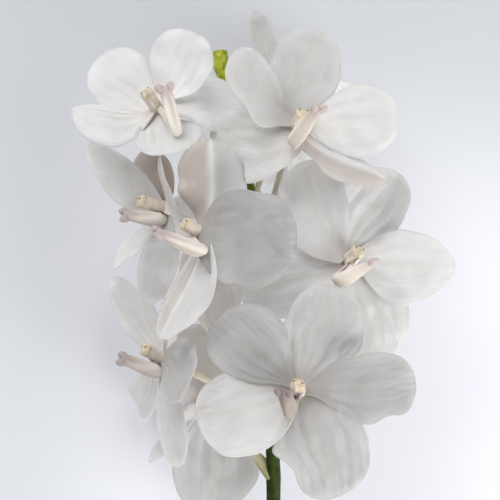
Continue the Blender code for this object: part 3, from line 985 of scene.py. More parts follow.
@dataclass(frozen=True)
class Lip:
    """The lip: a narrow grooved tongue with a keel below, two knobs at its end, two
    small lobes that stand up beside the column, and a short blunt spur behind.
    """

    belly: Point
    tip: Point
    breadth: float = 1.0  # scales its widths
    foot_drop: float = 3.4
    foot_set: float = 1.6
    bend: float = 0.55  # where it bends between foot and belly
    steps: int = 9  # between each two of the points that it goes through
    shares: tuple = (0.0, 0.16, 0.34, 0.5, 0.64, 0.78, 0.9, 1.0)  # of its length, for the next three
    widths: tuple = (1.5, 2.0, 2.5, 3.1, 3.6, 3.7, 3.5, 2.9)
    rims: tuple = (0.8, 1.4, 2.2, 3.0, 3.2, 2.6, 2.1, 1.6)
    keels: tuple = (1.2, 2.2, 3.0, 3.9, 4.2, 3.3, 2.4, 1.7)
    groove: float = 0.85  # its depth, as a share of the rim
    groove_width: float = 0.5
    knob: float = 1.9
    knob_axes: Point = (1.0, 0.85, 1.35)  # beside, above and along it, as shares of knob
    knob_spread: float = 2.6
    knob_splay: float = 0.35
    knob_tone: tuple[float, float] = (0.2, 1.0)  # the place on the lip whose finish the knobs have
    lobe_length: float = 3.6
    lobe_width: float = 1.7
    lobe_bulge: float = 0.5
    spur_length: float = 5.0
    sides: int = 40
    # painted shade deep in the bunch, on the tongue, the knobs and the lobes
    shade: float = 0.0
    roll: float = 0.0  # degrees that it turns about its own length

    def build(self, flower: "Flower", finishes: Finishes) -> None:
        """Makes the tongue with its knobs, then the lobes and the spur.

        Args:
            flower: the flower that it belongs to.
            finishes: the materials.
        """
        axis, upper = flower.axis, flower.top
        foot = np.array(flower.heart, float) - upper * self.foot_drop + axis * self.foot_set
        belly, tip = np.array(self.belly, float), np.array(self.tip, float)
        bend = foot * (1 - self.bend) + belly * self.bend
        path = smooth_path((foot, bend, belly, (belly + tip) / 2, tip), self.steps)
        roll = radians(self.roll)
        _, side, top = ring_frames(path, cos(roll) * upper + sin(roll) * np.cross(axis, upper))
        body = Piece(f"bloom_{flower.number}_lip")
        self.add_tongue(body, path, side, top)
        self.add_knobs(body, path, side[-1], top[-1])
        # the tongue and the knobs carry the lip's painted shade
        for places in body.places:
            places[:, 2] = self.shade
        body.finish(finishes.lip, "lip", f"{flower.node}_lip")
        self.build_lobes(flower, finishes, foot, side[6])
        self.build_spur(flower, finishes, foot)

    def add_tongue(self, body: Piece, path: np.ndarray, side: np.ndarray, top: np.ndarray) -> None:
        """Adds the grooved tongue.

        Args:
            body: where it goes.
            path: its middle line.
            side: the way to its side at each point of the path.
            top: the way that its groove looks there.
        """
        share = np.linspace(0, 1, len(path))
        profiles = (self.widths, self.rims, self.keels)
        width, rim, keel = (np.interp(share, self.shares, profile)[:, None] for profile in profiles)
        turn = round_turns(self.sides)
        lift, spread = np.sin(turn), np.cos(turn)
        open_out = smoothstep(0.5, 0.72, share) * smoothstep(0.98, 0.8, share)
        dip = self.groove * bell(spread, 0, self.groove_width) * open_out[:, None]
        level = np.where(lift > 0, rim * np.abs(lift) ** 0.7 * (1 - dip), -keel * np.abs(lift) ** 0.9)
        narrow = np.where(lift > 0, 1.0, 1 - 0.5 * np.abs(lift) ** 0.7)
        reach = self.breadth * width * spread * narrow
        rings = path[:, None] + reach[..., None] * side[:, None] + level[..., None] * top[:, None]
        body.add_loft(rings, share)
        body.places[0][: level.size, 0] = np.tile(lift, (len(path), 1)).ravel()

    def add_knobs(self, body: Piece, path: np.ndarray, side: np.ndarray, top: np.ndarray) -> None:
        """Adds the two knobs at the end.

        Args:
            body: where they go.
            path: the middle line of the tongue.
            side: the way to its side at its end.
            top: the way that its groove looks there.
        """
        ahead = unit(path[-1] - path[-4])
        for sign in (-1, 1):
            way = unit(ahead + side * sign * self.knob_splay)
            centre = path[-1] + side * sign * self.knob_spread - way * self.knob * 0.25
            ways = np.array([across(side, way), across(top, way), way])
            body.add_knob(centre, self.knob * ways * np.array(self.knob_axes)[:, None])
            body.places[-1][:, :2] = self.knob_tone

    def build_lobes(
        self, flower: "Flower", finishes: Finishes, foot: np.ndarray, side: np.ndarray
    ) -> None:
        """Makes the two side lobes, which stand up on each side of the column's foot.

        Args:
            flower: the flower that they belong to.
            finishes: the materials.
            foot: where the lip starts.
            side: the way to the lip's side near its foot.
        """
        axis, upper = flower.axis, flower.top
        piece = Piece(f"bloom_{flower.number}_lip_lobes")
        share, over = np.linspace(0, 1, 18), np.linspace(-1, 1, 13)
        for sign in (-1, 1):
            start = foot + side * sign * 1.7 + upper * 0.4
            end = start + axis * self.lobe_length + upper * 1.4 + side * sign * 0.5
            lean = start + axis * 3.4 + upper * 0.8 + side * sign * 0.3
            spine, tangents = bezier((start, start + axis * 2.0, lean, end), share)
            width = self.lobe_width * np.sin(pi * np.clip(share * 0.86 + 0.12, 0, 1)) ** 0.6
            outward = unit(np.cross(tangents, side))
            bulge = side[None, None] * (sign * self.lobe_bulge * (1 - over**2))[None, :, None]
            grid = spine[:, None] + (width[:, None] * over)[..., None] * outward[:, None] + bulge
            thick = 0.45 + 0.25 * (1 - over**2)[None, :] * np.ones((len(share), 1))
            # the lobes carry the lip's painted shade
            piece.add_sheet(grid, thick, grid_places(over, share, self.shade))
        piece.finish(finishes.lobe, "lip")

    def build_spur(self, flower: "Flower", finishes: Finishes, foot: np.ndarray) -> None:
        """Makes the blunt hollow spur that points back from the lip's foot.

        Args:
            flower: the flower that it belongs to.
            finishes: the materials.
            foot: where the lip starts.
        """
        axis, upper = flower.axis, flower.top
        share = np.linspace(0, 1, 14)
        stations = ((0.5, 0.0), (-1.5, -1.2), (-3.5, -2.0), (-self.spur_length, -1.6))
        path, _ = bezier(tuple(foot + axis * out + upper * up for out, up in stations), share)
        radii = np.interp(share, (0, 0.3, 0.85, 1), (1.5, 1.35, 1.0, 0.45))
        piece = Piece(f"bloom_{flower.number}_spur")
        piece.add_loft(round_rings(path, radii, upper, 18), np.linspace(0, 0.7, 14))
        piece.finish(finishes.lip, "lip")


@dataclass(frozen=True)
class Column:
    """The short column in the middle of a flower, with its anther cap and dark marks."""

    length: float = 8.5
    stations: tuple = (-4.4, -2.6, -1.2, 0.6, 2.2, 4.0)  # along its axis from the heart
    end_stations: tuple = (0.62, 0.85, 1.0)  # the last ones, as shares of the length
    radii: tuple = (1.6, 2.0, 2.9, 3.2, 3.1, 3.0, 3.1, 3.1, 2.5)  # at all of them
    rings: int = 33
    sides: int = 28
    hollow: float = 0.75  # depth of the stigma on its lower side
    hollow_width: float = 0.45
    cap: float = 3.15
    cap_split: float = 0.27  # how far its two cheeks stand apart, as a share of its size
    mark: float = 0.42

    def build(self, flower: "Flower", finishes: Finishes) -> None:
        """Makes the column, the cap and its marks.

        Args:
            flower: the flower that it belongs to.
            finishes: the materials.
        """
        axis, upper = flower.axis, flower.top
        heart = np.array(flower.heart, float)
        share = np.linspace(0, 1, self.rings)
        along = between((*self.stations, *(end * self.length for end in self.end_stations)), share)
        hollow = self.hollow * bell(round_turns(self.sides), 1.5 * pi, self.hollow_width)
        hollow = hollow * smoothstep(0.4, 0.7, along / self.length)[:, None]
        radii = between(self.radii, share)[:, None] - hollow
        body = Piece(f"bloom_{flower.number}_column")
        body.add_loft(round_rings(heart + along[:, None] * axis, radii, upper, self.sides), share)
        body.finish(finishes.column, "column", "stem")
        self.build_cap(flower, finishes, heart + axis * (self.length - 0.9) + upper * 0.25)

    def build_cap(self, flower: "Flower", finishes: Finishes, end: np.ndarray) -> None:
        """Makes the anther cap, with two cheeks and a beak, and the dark mark on each cheek.

        Args:
            flower: the flower that it belongs to.
            finishes: the materials.
            end: the middle of the cap.
        """
        axis, upper = flower.axis, flower.top
        side = np.cross(axis, upper)
        cap = Piece(f"bloom_{flower.number}_anther_cap")
        marks = Piece(f"bloom_{flower.number}_anther_marks")
        cheek_axes = self.cap * np.array([side * 0.78, upper * 0.95, axis * 0.72])
        for sign in (-1, 1):
            centre = end + side * sign * self.cap * self.cap_split
            cap.add_knob(centre, cheek_axes, 16, 28)
            way = unit(side * sign * 0.45 + upper * 0.42 + axis * 0.8)
            flat = across(side, way)
            mark_axes = self.mark * np.array([flat, np.cross(way, flat) * 1.3, way * 0.5])
            marks.add_knob(centre + way * self.cap * 0.8, mark_axes, 8, 14)
        beak_axes = self.cap * np.array([side * 0.45, upper * 0.5, axis * 0.5])
        cap.add_knob(end - upper * self.cap * 0.5 + axis * 0.9, beak_axes)
        cap.finish(finishes.cap, "anther_cap")
        marks.finish(finishes.mark, "anther_cap")


@dataclass(frozen=True)
class Stalk:
    """A flower's stalk: ribbed, pale, swelling a little towards the flower, with a
    small bract where it leaves the stem.
    """

    joins_at: float
    sweep: Point
    foot_swell: float = 0.8  # how much thicker its foot is, as a share of its radius
    foot_length: float = 0.16  # as a share of its length
    girth: float = 0.88  # of its middle, as a share of its radius
    swell: float = 0.22  # and what is added towards the flower
    ribs: int = 6
    rib_height: float = 0.16
    twist: float = 1.4
    sides: int = 30
    rings: int = 60
    bract_length: float = 5.5
    bract_width: float = 2.3
    bract_hug: float = 0.62  # how far it bends round the stalk, as a share of its width
    bract_thickness: float = 0.35

    def build(self, flower: "Flower", finishes: Finishes, stem_path: np.ndarray) -> None:
        """Makes the stalk and its bract.

        Args:
            flower: the flower that it carries.
            finishes: the materials.
            stem_path: the middle line of the stem, from its cut end to its tip.
        """
        start = np.array([np.interp(self.joins_at, stem_path[:, 1], stem_path[:, i]) for i in range(3)])
        heart, axis = np.array(flower.heart, float), flower.axis
        share = np.linspace(0, 1, self.rings)
        path, _ = bezier((start, self.sweep, heart - axis * STALK_LEAD, heart - axis * STALK_INSIDE), share)
        foot = smoothstep(self.foot_length, 0.02, share)
        swell = self.girth + self.swell * smoothstep(0.35, 0.9, share) + self.foot_swell * foot
        turn = round_turns(self.sides) + self.twist * share[:, None]
        ribs = self.rib_height * np.cos(self.ribs * turn)
        radii = STALK_RADIUS * swell[:, None] + ribs * smoothstep(0.2, 0.6, share)[:, None]
        piece = Piece(f"bloom_{flower.number}_stalk")
        piece.add_loft(round_rings(path, radii, flower.top, self.sides), share)
        piece.places[0][: self.rings * self.sides, 2] = np.repeat(foot, self.sides)
        piece.finish(finishes.stalk, "stalk", "stem")
        self.build_bract(flower, finishes, path)

    def build_bract(self, flower: "Flower", finishes: Finishes, path: np.ndarray) -> None:
        """Makes the small pointed bract under the stalk's foot.

        Args:
            flower: the flower that the stalk carries.
            finishes: the materials.
            path: the middle line of the stalk.
        """
        tangents, side, top = ring_frames(path, (0.0, -1.0, 0.2))
        share, over = np.linspace(0, 1, 16), np.linspace(-1, 1, 15)
        lift = STALK_RADIUS * 1.25 + 0.5 * share[:, None] ** 2
        spine = path[4] + tangents[6] * (share[:, None] * self.bract_length - 1.0) + top[6] * lift
        width = self.bract_width * np.sqrt(np.clip(1 - share**1.6, 0, 1))
        hug = -(over[None, :] ** 2) * width[:, None] * self.bract_hug
        grid = spine[:, None] + (width[:, None] * over)[..., None] * side[6] + hug[..., None] * top[6]
        thick = np.full(grid.shape[:2], self.bract_thickness)
        piece = Piece(f"bloom_{flower.number}_bract")
        piece.add_sheet(grid, thick, grid_places(over, share))
        piece.finish(finishes.bract, "stalk")


@dataclass(frozen=True)
class Flower:
    """One flower: where its parts meet, the way it looks, and its parts."""

    number: int
    heart: Point
    faces: Point
    upper: Point
    stalk: Stalk
    column: Column
    lip: Lip
    tepals: tuple[Tepal, ...]

    @property
    def node(self) -> str:
        """The start of the names of its CAD nodes."""
        return f"flower_{self.number}"

    @property
    def axis(self) -> np.ndarray:
        """The way that the flower looks."""
        return unit(self.faces)

    @property
    def top(self) -> np.ndarray:
        """The upper side of the flower, square to its axis."""
        return across(self.upper, self.axis)

    def build(self, finishes: Finishes, stem_path: np.ndarray) -> None:
        """Makes every part of the flower.

        Args:
            finishes: the materials.
            stem_path: the middle line of the stem.
        """
        self.stalk.build(self, finishes, stem_path)
        self.column.build(self, finishes)
        self.lip.build(self, finishes)
        for place, tepal in enumerate(self.tepals):
            tepal.build(self, finishes, 1000 * self.number + 100 * place)


FLOWERS = (
    Flower(
        1, (-48, 130.5, 78), (-0.45, 0.72, 0.53), (-0.6, 0.7, 0),
        Stalk(106.5, (-27.5, 113.5, 48)), Column(10),
        Lip((-39, 120.5, 93), (-44, 139, 101), breadth=0.8),
        (
            Tepal("dorsal_sepal", 0, (-76, 154, 66), 15, 15, (-0.1, 0.25, 0.96), bow=2, widest=0.6),
            Tepal(
                "left_petal", -82, (-86.5, 130, 80), 15.5, 5, (-0.1, 0.35, 0.9), end=1.55, widest=0.52,
                curls=(Curl(Side.LEFT, 0.5, 0.4, -55, 0.8),), shade=0.14,
            ),
            Tepal("right_petal", 72, (-29, 164, 78), 17, 13, (-0.1, 0.25, 0.96), bow=2, flare_left=1.0),
            Tepal(
                "left_sepal", -145, (-46.5, 109, 96), 20, 11, (-0.1, 0.72, 0.65),
                curls=(Curl(Side.RIGHT, 0.4, 0.3, 65, 0.7),), shade=0.22,
            ),
            Tepal("right_sepal", 135, (-12, 138.5, 54), 14, 19, (0, 0.3, 0.95), flare=0.6),
        ),
    ),
    Flower(
        2, (14, 122.5, 88), (0.36, 0.62, 0.7), (0.1, 1, 0),
        Stalk(72, (8.5, 97, 62)), Column(), Lip((13, 115.5, 101), (23.5, 129, 112), roll=-22),
        (
            Tepal(
                "dorsal_sepal", 0, (22, 166, 80), 15, 17.5, (0, 0.1, 0.99), bow=2, flare=0.9, shade=0.44,
            ),
            Tepal(
                "left_petal", -68, (-12.5, 155.5, 98), 13, 9.5, (0.3, -0.05, 0.94), bow=2, widest=0.6,
                notches=(Notch(Side.LEFT, 0.5, 0.14, 0.16), Notch(Side.LEFT, 0.24, 0.1, -0.3)),
                shade=0.36,
            ),
            Tepal(
                "right_petal", 80, (59, 125, 96), 17, 17, (0.05, 0.15, 0.98), bow=2, flare=1.1,
                flare_left=1.1, shade=0.16,
            ),
            Tepal(
                "left_sepal", -132, (-24.5, 118.5, 80), 21, 13, (-0.05, 0.12, 0.98), bow=1, widest=0.55,
                flare_left=0.5, shade=0.33,
            ),
            Tepal(
                "right_sepal", 152, (54, 98.5, 97), 6.5, 9.5, (0.05, 0.3, 0.95), bow=4, reach=0.42,
                keel=-1.2, flare=0.6, flare_left=0.4, notches=(Notch(Side.RIGHT, 0.25, 0.12, 0.35),),
                shade=-0.5, shade_left=0.12,
            ),
        ),
    ),
    Flower(
        3, (-44.5, 86.5, 76), (-0.93, 0.22, 0.3), (0, 1, 0),
        Stalk(79, (-24, 82, 38)), Column(12), Lip((-46.5, 81, 80), (-63, 83, 84), shade=0.3),
        (
            Tepal("dorsal_sepal", -4, (-54.5, 115, 54), 17, 7, (-0.3, -0.25, 0.9), bow=2, shade=-0.85),
            Tepal(
                "left_petal", -74, (-79, 115.5, 72), 13.5, 6.2, (0.1, 0.3, 0.94), bow=1, end=1.2,
                widest_left=0.56, flare=1.6, flare_left=0.7, shade=0.16,
            ),
            Tepal("right_petal", 94, (-12, 88, 73), 6.5, 6, (-0.3, 0, 0.95)),
            Tepal("left_sepal", -130, (-69, 60, 60), 12, 12, (-0.78, 0.62, 0.35), bow=1, shade=0.22),
            Tepal("right_sepal", 142, (-50.5, 43.5, 87), 9, 10, (-0.35, 0, 0.93), shade=0.56, end=1.6),
        ),
    ),
    Flower(
        4, (-28.5, 75.5, 102), (-0.75, 0.38, 0.54), (0, 1, 0),
        Stalk(44.5, (-13.5, 62, 66)), Column(), Lip((-28, 67.5, 113), (-46.5, 75, 122), shade=0.15),
        (
            Tepal(
                "dorsal_sepal", 8, (-24, 116.5, 98), 16.5, 18.5, (0.05, 0.05, 0.98), bow=3, keel=-0.7,
                flare=1.0, flare_left=0.6, shade=0.4, shade_left=-0.66,
            ),
            Tepal("left_petal", -91, (-46.5, 109.5, 88), 7.5, 8, (-0.98, 0, 0.15), bow=5, shade=-0.4),
            Tepal(
                "right_petal", 82, (14, 72, 112), 19.5, 24.5, (-0.1, -0.2, 0.97), bow=2, widest=0.5,
                widest_left=0.58, flare=0.45, crumple=1.8, shade=0.75,
            ),
            Tepal("left_sepal", -136, (-23, 28.5, 61), 18, 6, (-0.1, 0, 0.98), bow=-3, shade=-0.45),
            Tepal(
                "right_sepal", 150, (-46, 29, 108), 14.5, 6, (-0.35, 0.25, 0.9), widest=0.5,
                notches=(Notch(Side.LEFT, 0.92, 0.16, 0.3),), shade=-0.4, shade_left=0.2,
            ),
        ),
    ),
    Flower(
        5, (37, 63, 84), (0.55, 0.46, 0.7), (0.35, 0.9, 0),
        Stalk(28.5, (25.5, 39, 60)), Column(), Lip((32.5, 54.5, 98), (48, 62.5, 102), roll=-25),
        (
            Tepal(
                "dorsal_sepal", 0, (61, 102, 72), 16, 14.5, (0.1, 0.05, 0.98), bow=1, flare=0.8,
                shade=0.46, shade_left=0.12, crumple=0.35,
            ),
            Tepal(
                "left_petal", -72, (17, 107, 76), 18, 15, (0.1, -0.05, 0.98), bow=1, widest_left=0.46,
                flare_left=0.6, shade=0.26,
            ),
            Tepal(
                "right_petal", 78, (85.5, 59.5, 80), 16, 18.5, (0.2, 0.1, 0.97), bow=3, widest=0.5,
                end=1.35, shade=0.2,
            ),
            Tepal("left_sepal", -138, (-12, 49, 84), 17, 17, (0.1, 0.25, 0.96), bow=-2),
            Tepal(
                "right_sepal", 138, (51.5, 16.5, 78), 19, 15, (0.1, 0, 0.98), bow=-1, widest_left=0.45,
                flare_left=0.9, shade=0.3,
            ),
        ),
    ),
    Flower(
        6, (-45.5, 18.5, 76), (-0.82, 0.42, 0.39), (0, 1, 0),
        Stalk(-3.5, (-22.5, 5.5, 56)), Column(10), Lip((-48, 13, 82), (-64, 19, 84), shade=0.45),
        (
            Tepal("dorsal_sepal", 8, (-44, 52, 58), 13, 13, (-0.98, -0.05, 0.15), bow=6),
            Tepal(
                "left_petal", -58, (-69, 55, 60), 9.5, 8.5, (-0.35, 0.1, 0.93), bow=1, widest=0.55,
                end=1.3, shade=0.2,
            ),
            Tepal(
                "right_petal", 95, (-35, 4, 114), 18, 9, (-0.5, 0.1, 0.8), bow=3, flare_left=0.6,
                shade=0.72,
            ),
            Tepal(
                "left_sepal", -130, (-56, -9.5, 56), 6, 10, (-0.6, -0.1, 0.8),
                notches=(Notch(Side.RIGHT, 0.7, 0.12, -0.15), Notch(Side.RIGHT, 0.93, 0.09, 0.45)),
                shade=0.2,
            ),
            Tepal(
                "right_sepal", 142, (-38.5, -29, 90), 8, 7, (-0.45, 0, 0.9), widest=0.62, flare=0.8,
                flare_left=0.8, shade=0.34,
            ),
        ),
    ),
    Flower(
        7, (15, 6, 106), (-0.12, 0.34, 0.93), (0.25, 0.95, 0),
        Stalk(-19.5, (9, -11, 78)), Column(), Lip((11, -2.5, 112), (8, 6.5, 124), shade=0.8),
        (
            Tepal(
                "dorsal_sepal", 0, (29, 52.5, 104), 15, 20.5, (0, 0.05, 1), bow=1, flare=1.6,
                flare_left=1.0, shade=0.5, crumple=1.2,
            ),
            Tepal(
                "left_petal", -68, (-22.5, 36.5, 108), 14.5, 20.5, (0, -0.2, 0.98), bow=3, flare=1.5,
                flare_left=1.8, widest=0.58, widest_left=0.64,
                curls=(Curl(Side.RIGHT, 0.93, 0.13, -60, 0.5), Curl(Side.LEFT, 0.97, 0.1, -45, 0.5)),
                shade=0.72, crumple=1.2,
            ),
            Tepal(
                "right_petal", 76, (66, 9, 106), 16.5, 17, (0.05, -0.2, 0.98), bow=3, flare=1.8,
                flare_left=0.8, notches=(Notch(Side.RIGHT, 0.745, 0.1, 0.21),), shade=0.74, crumple=1.2,
            ),
            Tepal(
                "left_sepal", -132, (-30, -5.5, 106), 21.5, 17, (0, 0.22, 0.97), flare_left=0.65,
                shade=0.32, crumple=1.2,
            ),
            Tepal(
                "right_sepal", 147, (31, -41, 104), 22.5, 16.5, (0, 0.05, 1), bow=2, flare=0.6,
                widest=0.5,
                notches=(Notch(Side.RIGHT, 0.4, 0.08, -0.2), Notch(Side.RIGHT, 0.63, 0.11, 0.16)),
                shade=0.62, crumple=1.2,
            ),
        ),
    ),
    Flower(
        8, (-27.5, -2, 42), (-0.35, 0.1, -0.93), (0.2, 0.95, 0),
        Stalk(-37, (-4, -27.5, 46), foot_swell=1.3, foot_length=0.45), Column(),
        Lip((-28, -9.5, 34), (-31, -2, 20)),
        (
            Tepal("dorsal_sepal", 0, (-35, 32.5, 36), 16, 15, (-0.2, 0, -0.97), shade=-0.45),
            Tepal("left_petal", -75, (13, 2, 0.5), 17, 17, (-0.2, 0, -0.97), bow=-4),
            Tepal("right_petal", 75, (-56, -1, 1), 13, 13, (-0.4, 0, -0.9), bow=-4),
            Tepal("left_sepal", -140, (-24.5, -55.5, 32), 20, 21, (-0.1, 0, -0.97), shade=0.55),
            Tepal("right_sepal", 140, (-54.5, -34.5, 8), 4, 4, (-0.2, 0, -0.97)),
        ),
    ),
    Flower(
        9, (9.5, 132.5, 42), (0.2, 0.1, -0.97), (-0.2, 0.95, 0),
        Stalk(88, (0, 103.5, 50)), Column(), Lip((9, 126, 30), (11, 138.5, 20)),
        (
            Tepal(
                "dorsal_sepal", 0, (-4.5, 178.5, 44), 6.5, 5.5, (0.1, 0.1, -0.99), widest=0.68,
                shade=0.45,
            ),
            Tepal("left_petal", -75, (42, 134, 1), 13, 13, (0.1, 0.1, -0.99), bow=-4),
            Tepal("right_petal", 75, (-30.5, 128, 0.5), 13, 13, (0.1, 0.1, -0.99), bow=-4),
            Tepal("left_sepal", -140, (30, 96.5, 1), 15, 15, (0.1, 0.1, -0.99), bow=-4),
            Tepal("right_sepal", 140, (-9, 98.5, 12), 13, 13, (0.1, 0.1, -0.99)),
        ),
    ),
)


# ---------------------------------------------------------------- stem


@dataclass(frozen=True)
class Stem:
    """The main stem: ribbed green skin that swells where each stalk leaves it, and a
    plain cut at its lower end.
    """

    path: tuple = STEM_PATH
    radii: tuple = STEM_RADII
    upper: Point = (0.0, 0.3, 1.0)
    sides: int = 40
    steps: int = 26
    ribs: int = 9
    rib_height: float = 0.07
    rib_twist: float = 0.8  # half turns over its length
    uneven: Relief = Relief(31, 26.0, 0.07)
    girth: float = 3.0  # turns angles round the stem into millimetres for that relief
    swell: float = 0.27
    swell_length: float = 5.0
    cut_thickness: float = 0.25
    cut_shares: tuple[float, float] = (0.9, 0.93)  # radius of the cut's outer and inner face

    def line(self) -> np.ndarray:
        """The middle line of the stem."""
        return smooth_path(self.path, self.steps)

    def build(self, finishes: Finishes) -> None:
        """Makes the stem and the pale face of its cut.

        Args:
            finishes: the materials.
        """
        path = self.line()
        share = np.linspace(0, 1, len(path))
        radii = between(self.radii, share)
        for flower in FLOWERS:
            radii = radii + self.swell * bell(path[:, 1], flower.stalk.joins_at, self.swell_length)
        turn = round_turns(self.sides)
        ribs = self.rib_height * np.cos(self.ribs * turn + self.rib_twist * share[:, None] * pi)
        ribs = ribs + self.uneven.at(turn * self.girth, path[:, 1][:, None])
        stem = Piece("main_stem")
        stem.add_loft(round_rings(path, radii[:, None] + ribs, self.upper, self.sides), share)
        stem.finish(finishes.stem, "stem", "stem")
        grow = unit(path[1] - path[0])
        disc = np.array([path[0] - grow * self.cut_thickness, path[0] + grow * self.cut_thickness])
        rings = round_rings(disc, radii[0] * np.array(self.cut_shares), self.upper, self.sides)
        cut = Piece("stem_cut_face")
        cut.add_loft(rings, np.array([0, 1]))
        cut.finish(finishes.cut, "stem")


@dataclass(frozen=True)
class GrowingTip:
    """The blunt green end of the stem: a stub wrapped in short overlapping scales."""

    lean: Point = (-0.1, 0.99, -0.08)
    gap: float = 0.3
    length: float = 15.0
    radii: tuple = (1.5, 2.4, 3.3, 3.7, 3.8, 3.3)
    stub_length: float = 0.94  # as a share of the length
    stub_girth: float = 0.88  # as a share of the radii
    stub_tuck: float = 1.5
    sides: int = 28
    scales: int = 6
    scale_length: float = 6.4  # of the first, and each next one is shorter by the second
    scale_less: float = 0.35
    scale_from: float = 0.1  # places of the scales, as shares of the length
    scale_every: float = 0.11
    scale_turn: float = 2.4  # radians from one scale to the next
    scale_reach: float = 1.25  # radians that a scale goes round on each side
    scale_thickness: float = 0.35

    def build(self, finishes: Finishes) -> None:
        """Makes the stub and its scales.

        Args:
            finishes: the materials.
        """
        lean, up = unit(self.lean), np.array((0.0, 0.0, 1.0))
        start = np.array(STEM_PATH[-1]) + lean * self.gap
        share = np.linspace(0, 1, 30)
        along = self.length * self.stub_length * share - self.stub_tuck * (1 - share)
        radii = between(self.radii, share) * self.stub_girth
        stub = Piece("growing_tip_stub")
        stub.add_loft(round_rings(start + lean * along[:, None], radii, up, self.sides), share)
        stub.finish(finishes.tip, "growing_tip", "growing_tip")
        side = np.cross(lean, up)
        scales = Piece("growing_tip_scales")
        for number in range(self.scales):
            turn = number * self.scale_turn
            way = across(cos(turn) * side + sin(turn) * up, lean)
            low = self.scale_from + self.scale_every * number
            length = self.scale_length - self.scale_less * number
            self.add_scale(scales, start + lean * self.length * low, lean, way, length)
        scales.finish(finishes.tip, "growing_tip")

    def add_scale(
        self, piece: Piece, foot: np.ndarray, lean: np.ndarray, way: np.ndarray, length: float
    ) -> None:
        """Adds one scale that hugs the stub.

        Args:
            piece: where it goes.
            foot: the point of the stub's middle line where it starts.
            lean: the way that the stub grows.
            way: the side of the stub that it lies on.
            length: its length.
        """
        share, over = np.linspace(0, 1, 16), np.linspace(-1, 1, 17)
        reach = np.linalg.norm(foot - np.array(STEM_PATH[-1])) + length * share
        spread = (between(self.radii, reach / self.length) * 0.93 + 0.25 * share)[:, None]
        angle = self.scale_reach * np.sqrt(np.clip(1 - share**2.2, 0, 1))[:, None] * over
        other = np.cross(lean, way)
        grid = foot + (length * share)[:, None, None] * lean
        grid = grid + (spread * np.cos(angle))[..., None] * way + (spread * np.sin(angle))[..., None] * other
        piece.add_sheet(grid, np.full(grid.shape[:2], self.scale_thickness), grid_places(over, share))


# ---------------------------------------------------------------- studio


@dataclass(frozen=True)
class Lamp:
    """A soft square lamp."""

    name: str
    place: Point
    size: float
    watts: float
    colour: str = "FFFFFF"

    def build(self, target: Point) -> None:
        """Adds the lamp.

        Args:
            target: the point that it looks at.
        """
        light = bpy.data.lights.new(self.name, "AREA")
        light.shape = "SQUARE"
        light.size = self.size * MM
        light.energy = self.watts
        light.color = linear(self.colour)[:3]
        lamp = bpy.data.objects.new(self.name, light)
        bpy.context.scene.collection.objects.link(lamp)
        away = unit(np.array(self.place, float) - np.array(target, float))
        side = unit(np.cross((0, 1, 0.01), away))
        matrix = np.eye(4)
        matrix[:3, :3] = np.column_stack([side, np.cross(away, side), away])
        matrix[:3, 3] = np.array(self.place) * MM
        lamp.matrix_world = Matrix(matrix.tolist())


@dataclass(frozen=True)
class PaintedLightPatch:
    """A stretch of painted light on the paper, or of painted shade where its tone is darker, which comes in
    softly along X and Y.
    """

    tone: str
    along_x: tuple[float, float]  # from nothing to the full tone
    along_y: tuple[float, float]


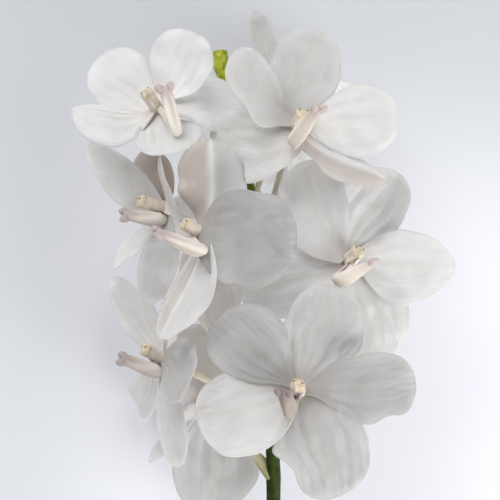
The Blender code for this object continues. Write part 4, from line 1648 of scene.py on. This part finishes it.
@dataclass(frozen=True)
class Paper:
    """Matt studio paper with painted light and shade: brighter towards the lower right, darker at the top
    right and towards its rim.
    """

    half: float = 2500.0
    tone: str = "DADCDF"
    # the tone, the patches and the rim are painted light and shade, lightest towards the lower right
    painted_light_patches: tuple[PaintedLightPatch, ...] = (
        PaintedLightPatch("F0F1F6", (-122.0, -35.0), (185.0, 30.0)),
        PaintedLightPatch("CBCDD1", (-40.0, 60.0), (60.0, 200.0)),
    )
    rim: str = "BFC1C4"
    rim_range: tuple[float, float] = (220.0, 800.0)
    cloud: float = 600.0
    cloud_strength: float = 0.1
    roughness: float = 0.9

    def dress(self) -> bpy.types.Material:
        """Makes the paper's material.

        Returns:
            The new material.
        """
        graph = Graph("studio_paper")
        add = graph.add
        colour = linear(self.tone)
        # painted light and shade: the patches, then the darker rim
        for patch in self.painted_light_patches:
            ranges = ((Kind.X, patch.along_x), (Kind.Y, patch.along_y))
            fades = [
                add(Kind.STEP, add(kind, graph.spot), low * MM, high * MM) for kind, (low, high) in ranges
            ]
            colour = add(Kind.BLEND, add(Kind.TIMES, *fades), colour, linear(patch.tone))
        low, high = self.rim_range
        far = add(Kind.STEP, add(Kind.LENGTH, graph.spot), low * MM, high * MM)
        colour = add(Kind.BLEND, far, colour, linear(self.rim))
        cloud = add(Kind.NOISE, graph.spot, every(self.cloud), 2.0)
        cloud = add(Kind.STEP, cloud, 0.3, 0.7, 0.0, self.cloud_strength)
        colour = add(Kind.BLEND, cloud, colour, linear(self.tone))
        return graph.shade(Base_Color=colour, Roughness=self.roughness)

    def build(self) -> None:
        """Adds the floor, which is part of the stage."""
        corner = self.half * MM
        corners = [(-corner, -corner, 0), (corner, -corner, 0), (corner, corner, 0), (-corner, corner, 0)]
        mesh = bpy.data.meshes.new("floor")
        mesh.from_pydata(corners, [], [(0, 1, 2, 3)])
        mesh.materials.append(self.dress())
        floor = bpy.data.objects.new("floor", mesh)
        bpy.context.scene.collection.objects.link(floor)


@dataclass(frozen=True)
class Studio:
    """The pale paper, the soft lamps, the sky and the camera that looks straight down."""

    camera_at: Point = (-6.5, 67.5, 1075.0)
    view_degrees: float = 12.84
    clip: tuple[float, float] = (0.01, 20.0)  # metres
    target: Point = (-6.0, 60.0, 70.0)
    paper: Paper = Paper()
    sky: str = "F0F1F5"
    sky_strength: float = 0.54
    lamps: tuple[Lamp, ...] = (
        Lamp("key", (-900.0, 1700.0, 1200.0), 2000.0, 35.0),
        Lamp("glow", (520.0, -440.0, 460.0), 640.0, 6.0),
    )

    def build(self) -> None:
        """Makes the camera, the floor, the sky and the lamps."""
        self.add_camera()
        self.paper.build()
        self.add_sky()
        for lamp in self.lamps:
            lamp.build(self.target)

    def add_camera(self) -> None:
        """Adds the camera, which looks down as a new one does."""
        scene = bpy.context.scene
        data = bpy.data.cameras.new("camera")
        data.sensor_fit = "HORIZONTAL"
        data.angle = radians(self.view_degrees)
        data.clip_start, data.clip_end = self.clip
        camera = bpy.data.objects.new("camera", data)
        camera.location = np.array(self.camera_at) * MM
        scene.collection.objects.link(camera)
        scene.camera = camera

    def add_sky(self) -> None:
        """Adds an even sky, and shows colours as they are."""
        scene = bpy.context.scene
        world = bpy.data.worlds.new("studio_sky")
        world.use_nodes = True
        back = world.node_tree.nodes["Background"]
        back.inputs["Color"].default_value = linear(self.sky)
        back.inputs["Strength"].default_value = self.sky_strength
        scene.world = world
        scene.view_settings.view_transform = "Standard"


def main() -> None:
    """Builds the spike around the fixed frame, piece by piece."""
    logging.basicConfig(level=logging.INFO, format="%(message)s")
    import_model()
    finishes = Finishes()
    stem = Stem()
    stem.build(finishes)
    GrowingTip().build(finishes)
    for flower in FLOWERS:
        flower.build(finishes, stem.line())
    Studio().build()


if __name__ == "__main__":
    main()
